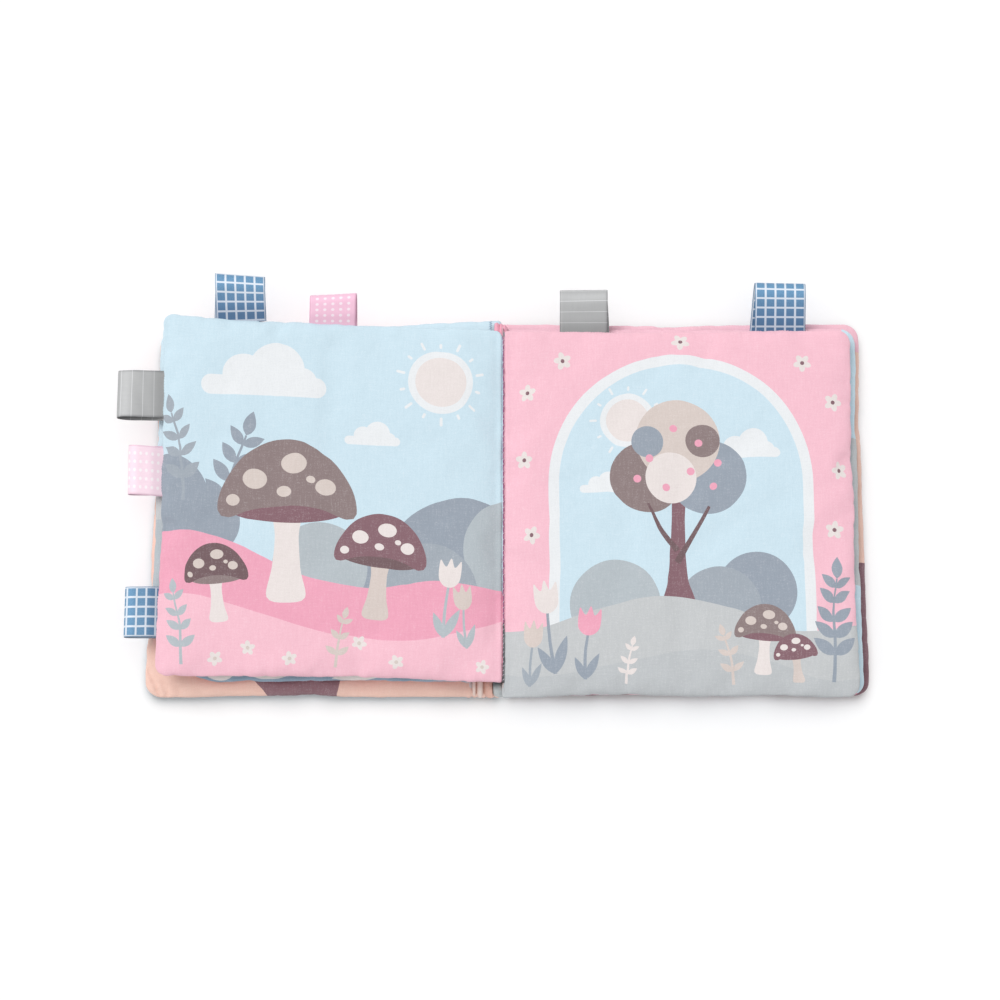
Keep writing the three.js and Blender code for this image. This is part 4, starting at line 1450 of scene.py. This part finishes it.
cut["7"] = ribbon_loop("blue_check_loop_left_side", -170.6, -54.4, 180, 15.8, 25, "left_top_leaf", CHECK,
                       shift=0.5, lean=0.2, twist=0.10, high=2.0, low=-2.0, phase=1.5, seed=17)
print("ribbon lengths (mm):", {k: round(v, 1) for k, v in cut.items()})


# ========================================================================== spine
def strip_solid(name, centre, across, thick, material, extra=None):
    """centre[i, j] points of a sheet, across = unit normals there; made a closed
    sheet of the given thickness (mm). extra: cloth length to add at each column."""
    n, m = centre.shape[:2]
    A = centre + across * thick / 2
    B = centre - across * thick / 2
    V = np.concatenate([A.reshape(-1, 3), B.reshape(-1, 3)])
    base = n * m
    F = []
    for i in range(n - 1):
        for j in range(m - 1):
            q = (i * m + j, i * m + j + 1, (i + 1) * m + j + 1, (i + 1) * m + j)
            F.append(q)
            F.append(tuple(base + k for k in q[::-1]))
    for i in range(n - 1):
        F.append((i * m, (i + 1) * m, base + (i + 1) * m, base + i * m))
        F.append((i * m + m - 1, base + i * m + m - 1, base + (i + 1) * m + m - 1, (i + 1) * m + m - 1))
    for j in range(m - 1):
        F.append((j, base + j, base + j + 1, j + 1))
        F.append(((n - 1) * m + j, (n - 1) * m + j + 1, base + (n - 1) * m + j + 1, base + (n - 1) * m + j))
    ob = new_object(name, V, F, material)
    bm_fix_normals(ob)
    du = np.linalg.norm(np.diff(centre, axis=1), axis=-1)
    dv = np.linalg.norm(np.diff(centre, axis=0), axis=-1)
    U = np.concatenate([np.zeros((n, 1)), np.cumsum(du, 1)], 1)
    if extra is not None:
        U = U + np.asarray(extra, float)[None, :]
    Vv = np.concatenate([np.zeros((1, m)), np.cumsum(dv, 0)], 0)
    uv = np.stack([U.reshape(-1), Vv.reshape(-1)], -1)
    set_uv(ob, "cloth", np.concatenate([uv, uv]))
    return ob


def normals_of(P):
    du = np.gradient(P, axis=1)
    dv = np.gradient(P, axis=0)
    n = np.cross(du, dv)
    return n / np.maximum(np.linalg.norm(n, axis=-1, keepdims=True), 1e-9)


def spine_cover():
    """Cover cloth under the spine, sewn down along one cover and the other."""
    y = np.concatenate([[-93.2, -92.9, -92.5, -91.9, -91.2], np.linspace(-90.2, 89.0, 108),
                        [90.0, 90.7, 91.3, 91.7, 92.0]])
    # the broad step in the middle becomes the flat back of the closed book
    half = [5.8, 5.65, 5.3, 4.6, 3.6, 2.6, 1.9, 1.6, 1.48, 1.36, 1.22, 1.08, 0.95]
    xs = np.array(half + [-v for v in half[::-1]])
    n, m = len(y), len(xs)
    extra = np.where(xs < 0, 46.0, 0.0)
    w2 = waves(72, 5, 7, 25)
    P = np.zeros((n, m, 3))
    P[:, :, 0] = xs[None, :]
    P[:, :, 1] = y[:, None]
    P[:, :, 2] = 0.34 + 0.10 * (xs[None, :] / 5.8) ** 2 + 0.03 * w2(y)[:, None] * np.exp(-(xs[None, :] / 3.0) ** 2)
    # thicker where the hem is turned in
    hem = np.exp(-((y + 92.2) / 0.8) ** 2) + np.exp(-((y - 91.0) / 0.8) ** 2)
    thick = (0.40 + 0.14 * hem)[:, None, None]
    ob = strip_solid("spine_cover_cloth", P, normals_of(P), thick, CLOTH, extra)
    paint(ob, RGB["slate"])
    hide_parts("spine_cover_strip")
    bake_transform(ob)
    return ob


spine_cover()


MID = 0.2       # the binding stands this far right of the hinge line


def binding():
    """The folded binding tape that stands between the leaves, its raw edge overlocked."""
    n = 190
    y = np.linspace(-89.6, 89.6, n)
    # up one side, over the top, down the other
    half = [(0.16, 1.2), (0.14, 5), (0.13, 10), (0.13, 15), (0.15, 19), (0.24, 20.4), (0.31, 21.1), (0.26, 21.6), (0.10, 21.82)]
    prof = half + [(-x, z) for x, z in half[::-1]]
    prof = spline(prof, closed=True, step=0.6)
    m = len(prof)
    w = waves(81, 6, 3.0, 11.0)
    w2 = waves(82, 4, 14.0, 60.0)
    V, F = [], []
    for i, yy in enumerate(y):
        lean = 0.06 * float(w(yy)) + 0.06 * float(w2(yy))
        lift = 0.10 * float(w(yy + 40))
        broad = 1.15 + 0.55 * float(smoothstep(-59.5, -61.5, yy))
        tuck = 4.5 * float(smoothstep(84.6, 88.0, yy))
        for x, z in prof:
            k = max(0.0, (z - 17.0) / 5.0)
            x = x * (1 + (broad - 1) * float(smoothstep(20.9, 21.5, z)))
            V.append((x + MID + lean * k ** 2, yy, z + lift * k - tuck * min(1.0, z / 20.0) ** 2))
    for i in range(n - 1):
        for j in range(m):
            j2 = (j + 1) % m
            F.append((i * m + j, i * m + j2, (i + 1) * m + j2, (i + 1) * m + j))
    F.append(tuple(range(m))[::-1])
    F.append(tuple((n - 1) * m + j for j in range(m)))
    ob = new_object("spine_binding_cloth", V, F, CLOTH)
    bm_fix_normals(ob)
    uv = np.array([(v[2] + (30 if v[0] < 0 else 0), v[1]) for v in V])
    set_uv(ob, "cloth", uv)
    # plum cloth, charcoal at its foot: partly painted shade, darker copies of the pink and grey page cloth beside it,
    # so that the valley between the leaves shows dark
    tone = np.zeros((len(ob.data.polygons), 4))
    for f, poly in enumerate(ob.data.polygons):
        tone[f] = lin4((92, 94, 98) if poly.center.y < -0.0605 else (156, 92, 132))
    paint(ob, tone)
    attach(ob, "right_cover")
    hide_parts("spine_binding_tape")
    return ob


binding()


def web(name, level, sign, child, rgb, seed, off, foot_rgb=None, change=-60.0):
    """Seam allowance of a leaf: from the top of the spine down to the leaf's inner seam."""
    leaf = LEAVES[child]
    foot_rgb = foot_rgb or rgb
    n = 110
    v = np.linspace(3.0, min(leaf.H - 3.0, 87.4 - leaf.corners[0][1]), n)
    seam_out = leaf.point(np.full(n, 1.6), v, True)
    w = waves(seed, 5, 6, 30)
    z_top = 21.55 - 0.06 * off
    turn_end = 20.98
    # most rows lie in the short stretch that rolls over the spine
    rolled = np.linspace(0, z_top - turn_end + 0.15, 13)
    rows = []
    for i in range(n):
        e = seam_out[i]
        wob = float(w(v[i]))
        if level == "top":
            ctrl = [(0.20, z_top), (0.30, 21.2), (0.42, 20.96), (0.80, 20.84), (2.0, 20.8)]
        elif level == "middle":
            ctrl = [(0.27, z_top), (0.30, 20.6), (0.37 + 0.03 * wob, 17.0), (0.50, 13.3), (0.90, 12.45), (2.0, 12.4)]
        else:
            ctrl = [(0.22, z_top), (0.24, 20.5), (0.27 + 0.03 * wob, 13.0), (0.48, 5.0), (0.90, 4.05), (2.0, 4.0)]
        c = spline([(sign * x + MID, z) for x, z in ctrl], closed=False, step=0.1)
        d = np.concatenate([[0], np.cumsum(np.linalg.norm(np.diff(c, axis=0), axis=1))])
        q = np.concatenate([rolled, rolled[-1] + (d[-1] - rolled[-1]) * np.linspace(0, 1, 9)[1:]])
        rows.append(np.stack([np.interp(q, d, c[:, 0]), np.full(len(q), e[1]), np.interp(q, d, c[:, 1])], -1))
    P = np.array(rows)
    extra = 11.0 * np.clip(q / rolled[-1], 0, 1)
    ob = strip_solid(name, P, normals_of(P), 0.16, CLOTH, extra)
    tone = np.zeros((len(ob.data.polygons), 4))
    for f, poly in enumerate(ob.data.polygons):
        tone[f] = lin4(rgb if poly.center.y > change * MM else foot_rgb)
    paint(ob, tone)
    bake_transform(ob)
    return ob


web("right_top_hinge_cloth", "top", 1, "right_top_leaf", RGB["pink"], 91, 0, RGB["ground"], -62.0)
web("right_middle_hinge_cloth", "middle", 1, "right_middle_leaf", RGB["sky"], 92, 1)
web("left_top_hinge_cloth", "top", -1, "left_top_leaf", RGB["sky"], 93, 0, RGB["rose"], -46.0)
web("left_middle_hinge_cloth", "middle", -1, "left_middle_leaf", RGB["ground"], 94, 1)
web("left_cover_hinge_cloth", "cover", -1, "left_cover", RGB["peach"], 95, 2)


def root_flange():
    """Right cover's own seam allowance, sewn to the binding."""
    n, m = 90, 7
    leaf = LEAVES["right_cover"]
    v = np.linspace(3.0, leaf.H - 3.0, n)
    e = leaf.point(np.full(n, 1.6), v, True)
    P = np.zeros((n, m, 3))
    for j, f in enumerate(np.linspace(0, 1, m)):
        P[:, j, 0] = 0.1 + f * 2.2
        P[:, j, 1] = e[:, 1]
        P[:, j, 2] = 4.0 + 0.6 * (1 - f) ** 2
    ob = strip_solid("right_cover_hinge_cloth", P, normals_of(P), 0.2, CLOTH)
    paint(ob, RGB["peach"])
    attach(ob, "right_cover")


root_flange()


# --------------------------------------------------------------- sewing thread
def tube(points, radius, sides=6):
    """A closed tube along points: vertices and faces."""
    P = np.asarray(points, float)
    T = np.gradient(P, axis=0)
    T /= np.maximum(np.linalg.norm(T, axis=1, keepdims=True), 1e-9)
    ref = np.array([0.0, 0.0, 1.0]) if abs(T[0][2]) < 0.9 else np.array([0.0, 1.0, 0.0])
    V, F = [], []
    prev = None
    for p, t in zip(P, T):
        a = np.cross(t, ref) if prev is None else prev - t * np.dot(prev, t)
        a = a / max(np.linalg.norm(a), 1e-9)
        prev = a
        b = np.cross(t, a)
        for k in range(sides):
            th = 2 * math.pi * k / sides
            V.append(p + radius * (math.cos(th) * a + math.sin(th) * b))
    n = len(P)
    for i in range(n - 1):
        for k in range(sides):
            k2 = (k + 1) % sides
            F.append((i * sides + k, i * sides + k2, (i + 1) * sides + k2, (i + 1) * sides + k))
    F.append(tuple(range(sides))[::-1])
    F.append(tuple((n - 1) * sides + k for k in range(sides)))
    return V, F


def gather(parts):
    V, F = [], []
    for v, f in parts:
        base = len(V)
        V += [tuple(p) for p in v]
        F += [tuple(base + k for k in q) for q in f]
    return V, F


def overlock():
    rng = np.random.default_rng(55)
    parts = []
    y = -88.2
    while y < 85.0:
        j = rng.uniform(-0.2, 0.2)
        lift = rng.uniform(-0.12, 0.08)
        a, b = rng.uniform(0.30, 0.42), rng.uniform(0.30, 0.42)
        pts = [(-a, y - 0.5 + j, 20.9), (-a, y - 0.4 + j, 21.4 + lift), (-0.20, y - 0.15 + j, 21.93 + lift),
               (0.16, y + 0.2 + j, 21.95 + lift), (b, y + 0.45 + j, 21.45 + lift), (b, y + 0.55 + j, 20.9)]
        pts = [(px + MID, py, pz) for px, py, pz in pts]
        parts.append(tube(spline(pts, closed=False, step=0.25), 0.12, 6))
        y += (3.0 if y > -60 else 2.3) + rng.uniform(-0.45, 0.6)
    V, F = gather(parts)
    ob = new_object("overlock_thread", V, F, OVERLOCK)
    bm_fix_normals(ob)
    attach(ob, "right_cover")


overlock()


def topstitch(side, body):
    """Running stitches that hold the spine cover to one cover, seen from outside."""
    parts = []
    y = -92.2
    rng = np.random.default_rng(66 + (side > 0))
    while y < 88.6:
        L = 2.3 + rng.uniform(-0.12, 0.12)
        x = side * (4.9 + rng.uniform(-0.05, 0.05))
        z = 0.34 + 0.10 * (4.9 / 5.8) ** 2 - 0.20
        pts = [(x, y, z + 0.12), (x, y + 0.18, z - 0.03), (x, y + L / 2, z - 0.05), (x, y + L - 0.18, z - 0.03), (x, y + L, z + 0.12)]
        parts.append(tube(spline(pts, closed=False, step=0.35), 0.11, 6))
        y += L + 0.75
    V, F = gather(parts)
    ob = new_object("spine_cover_topstitch_" + ("right" if side > 0 else "left"), V, F, COVER_THREAD)
    bm_fix_normals(ob)
    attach(ob, body)


topstitch(1, "right_cover")
topstitch(-1, "left_cover")


def bar_tack():
    """Zigzag stitches on the middle leaf's head, by the spine."""
    leaf = LEAVES["left_middle_leaf"]
    parts = []
    z = []
    n = 11
    for k in range(n):
        f = k / (n - 1)
        U = 5.1 + (1.3 if k % 2 else 0.0)
        V = leaf.H - 1.0 - f * 6.5
        z.append((U, V))
    Z = np.array(z)
    P = leaf.point(Z[:, 0], Z[:, 1], True)
    P[:, 2] += 0.10
    pts = []
    for a, b in zip(P[:-1], P[1:]):
        for f in np.linspace(0, 1, 6)[:-1]:
            q = a + (b - a) * f
            q[2] += 0.12 * math.sin(math.pi * f)
            pts.append(q)
    pts.append(P[-1])
    parts.append(tube(pts, 0.14, 6))
    V, F = gather(parts)
    ob = new_object("bar_tack_thread", V, F, SEAM_THREAD)
    bm_fix_normals(ob)
    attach(ob, "left_middle_leaf")


bar_tack()


def pleated_end(name, x0, x1, spine, pleats, rgb, seed, depth=1.1, turn=0.0, sharp=0.7,
                ridges=None, slope=0.0, painted_shadow=None, open_side=False, painted_light_tones=None):
    """A gathered end of the binding cloth: a folded-over flap with pleats running
    along it. spine: the side curve (y, z) that it lies on; ridges: where each pleat
    starts and ends across it; painted_shadow: (colour, y from, y to), a painted
    shadow: the colour blends into this darker one between these y, for the shadow
    of the leaf above; open_side: the last pleat stays high at its edge;
    painted_light_tones: painted light and shade, the valley colour and the first
    and last pleat's top colour, so the pleat tops are lighter and the valleys darker."""
    n, m = 34, 12 * max(1, pleats) + 9
    side = spline(spine, closed=False, step=0.3)
    d = np.concatenate([[0], np.cumsum(np.linalg.norm(np.diff(side, axis=0), axis=1))])
    q = np.linspace(0, d[-1], n)
    yy, zz = np.interp(q, d, side[:, 0]), np.interp(q, d, side[:, 1])
    t = np.gradient(np.stack([yy, zz], -1), axis=0)
    t /= np.linalg.norm(t, axis=1, keepdims=True)
    nrm = np.stack([-t[:, 1], t[:, 0]], -1)
    rng = np.random.default_rng(seed)
    w = waves(seed, 4, 4, 12)
    P = np.zeros((n, m, 3))
    f = np.linspace(0, 1, m)
    for i in range(n):
        g = q[i] / d[-1]
        width = (x1 - x0) * (1 - 0.10 * math.sin(math.pi * g))
        mid = (x0 + x1) / 2 + turn * g
        x = mid + (f - 0.5) * width
        ridge = (0.5 - 0.5 * np.cos(2 * math.pi * pleats * f + 0.6 * math.sin(3 * g))) ** sharp if pleats else np.sin(math.pi * f) ** 0.6
        if ridges:
            ridge = np.zeros(m)
            for a, b in zip(ridges[:-1], ridges[1:]):
                at = (f >= a) & (f <= b)
                local = np.clip((f - a) / (b - a) + 0.06 * math.sin(4 * g + 9 * a), 0, 1)
                if open_side and b == ridges[-1]:
                    local = local * 0.66
                ridge[at] = (np.sin(math.pi * local) ** sharp * (0.6 + 0.4 * math.sqrt((b - a) * len(ridges) / 2)))[at]
        round_ = np.sin(math.pi * np.clip(f * (0.6 if open_side else 1.0), 0, 1)) ** 0.5
        off = depth * (ridge * (0.75 + 0.25 * math.sin(math.pi * g)) + 0.35 * round_) + 0.06 * w(q[i] + 9 * f)
        P[i, :, 0] = x + (0.25 * np.sin(2 * math.pi * pleats * f) if pleats else 0)
        P[i, :, 1] = yy[i] + nrm[i, 0] * off - slope * f
        P[i, :, 2] = zz[i] + nrm[i, 1] * off
    ob = strip_solid(name, P, normals_of(P), 0.55, CLOTH)
    # painted shadow: the piece's colour is blended to a darker one over a range of y
    if painted_shadow:
        tone = np.zeros((len(ob.data.polygons), 4))
        a, b = np.array(lin4(rgb)), np.array(lin4(painted_shadow[0]))
        for k, poly in enumerate(ob.data.polygons):
            w_ = float(smoothstep(painted_shadow[1] * MM, painted_shadow[2] * MM, poly.center.y))
            tone[k] = a + (b - a) * w_
        paint(ob, tone)
    # painted light and shade: the pleat tops are coloured lighter and the valleys darker
    elif painted_light_tones:
        low, first, last = [np.array(lin4(c)) for c in painted_light_tones]
        tone = np.zeros((len(ob.data.polygons), 4))
        for k, poly in enumerate(ob.data.polygons):
            fx = min(max((poly.center.x / MM - x0) / (x1 - x0), 0.0), 1.0)
            for a, b in zip(ridges[:-1], ridges[1:]):
                if a <= fx <= b:
                    up_ = math.sin(math.pi * (fx - a) / (b - a) * (0.66 if b == ridges[-1] else 1.0)) ** 0.7
                    top_ = first + (last - first) * float(smoothstep(0.5, 0.8, fx))
                    tone[k] = low + (top_ - low) * up_
        paint(ob, tone)
    else:
        paint(ob, rgb)
    return ob


# the foot tab's top is painted dark grey, a painted shadow of the leaf above
foot_tab = pleated_end("spine_foot_binding_end", -4.9, 0.35,
                       [(-83.9, 12.6), (-86.9, 12.4), (-89.7, 10.9), (-91.9, 8.0), (-92.9, 5.0), (-93.0, 3.0), (-92.4, 1.2)][::-1],
                       0, (208, 214, 215), 61, depth=1.15, painted_shadow=((98, 106, 110), -92.6, -88.4))
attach(foot_tab, "right_cover")
# the pleats carry painted light and shade: lighter tops, darker valleys
pleats = pleated_end("left_cover_foot_pleats", -15.6, -4.75,
                     [(-82.8, 7.6), (-86.3, 7.4), (-89.6, 6.8), (-91.8, 5.4), (-92.8, 3.6), (-92.4, 1.6)][::-1],
                     3, (255, 230, 219), 63, depth=1.6, sharp=0.6, ridges=(0.0, 0.21, 0.57, 1.0),
                     open_side=True, painted_light_tones=((206, 140, 116), (255, 234, 225), (254, 204, 188)))
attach(pleats, "left_cover")
head_tab = pleated_end("spine_head_binding_end", -4.4, 2.3,
                       [(85.8, 19.2), (88.0, 19.0), (90.2, 18.2), (92.3, 16.4), (93.4, 13.8), (93.7, 10.0), (93.6, 5.0), (93.0, 1.4)],
                       3, (246, 172, 192), 62, depth=0.95, sharp=0.5,
                       ridges=(0.0, 0.36, 0.68, 1.0), slope=1.6)
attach(head_tab, "right_cover")

# ================================================================ floor and light
plane = bpy.data.meshes.new("floor")
s = 6.0
plane.from_pydata([(-s, -s, 0), (s, -s, 0), (s, s, 0), (-s, s, 0)], [], [(0, 1, 2, 3)])
floor = bpy.data.objects.new("floor", plane)
scene.collection.objects.link(floor)
floor.location = (0, 0, -0.0002)
plane.materials.append(floor_material())

world = bpy.data.worlds.new("studio")
scene.world = world
world.use_nodes = True
bg = world.node_tree.nodes["Background"]
bg.inputs[0].default_value = (1.0, 1.0, 1.0, 1.0)
bg.inputs[1].default_value = 0.65

# a wide soft overhead lamp, from a little behind the head of the book
key = bpy.data.lights.new("key", "SUN")
key.energy = 1.75
key.angle = math.radians(36)
key.color = (1.0, 0.997, 0.99)
key_ob = bpy.data.objects.new("key", key)
scene.collection.objects.link(key_ob)
key_ob.location = (-0.1, 0.3, 1.0)
key_ob.rotation_mode = "QUATERNION"
key_ob.rotation_quaternion = Vector((0.44, -0.33, -1.0)).to_track_quat("-Z", "Y")
not_floor = bpy.data.collections.new("key_leaves_out")
not_floor.objects.link(floor)
not_floor.collection_objects[0].light_linking.link_state = "EXCLUDE"
key_ob.light_linking.receiver_collection = not_floor

# the floor's own lamp, from over the head; ribbons and thread throw no shadow from it
wash = bpy.data.lights.new("floor_wash", "SUN")
wash.energy = 1.81
wash.angle = math.radians(62)
wash_ob = bpy.data.objects.new("floor_wash", wash)
scene.collection.objects.link(wash_ob)
wash_ob.location = (0.0, 0.4, 1.0)
wash_ob.rotation_mode = "QUATERNION"
wash_ob.rotation_quaternion = Vector((0.03, -0.72, -1.0)).to_track_quat("-Z", "Y")
only_floor = bpy.data.collections.new("floor_wash_lights")
only_floor.objects.link(floor)
wash_ob.light_linking.receiver_collection = only_floor
casters = bpy.data.collections.new("floor_wash_shadows")
for name in ("left_cover_cloth", "right_cover_cloth"):
    casters.objects.link(bpy.data.objects[name])
wash_ob.light_linking.blocker_collection = casters

# ========================================================================= camera
el = math.radians(79.0)
D = 1.350
T = Vector((-0.0015, 0.0035, 0.012))
back = Vector((0, -math.cos(el), math.sin(el)))
cam_data = bpy.data.cameras.new("camera")
cam_data.sensor_fit = "AUTO"
cam_data.sensor_width = 36.0
cam_data.lens = 18.0 / (0.250 / D)
cam_data.clip_start, cam_data.clip_end = 0.05, 50
cam = bpy.data.objects.new("camera", cam_data)
scene.collection.objects.link(cam)
cam.location = T + back * D
cam.rotation_mode = "QUATERNION"
cam.rotation_quaternion = (-back).to_track_quat("-Z", "Y")
scene.camera = cam
scene.view_settings.view_transform = "Standard"
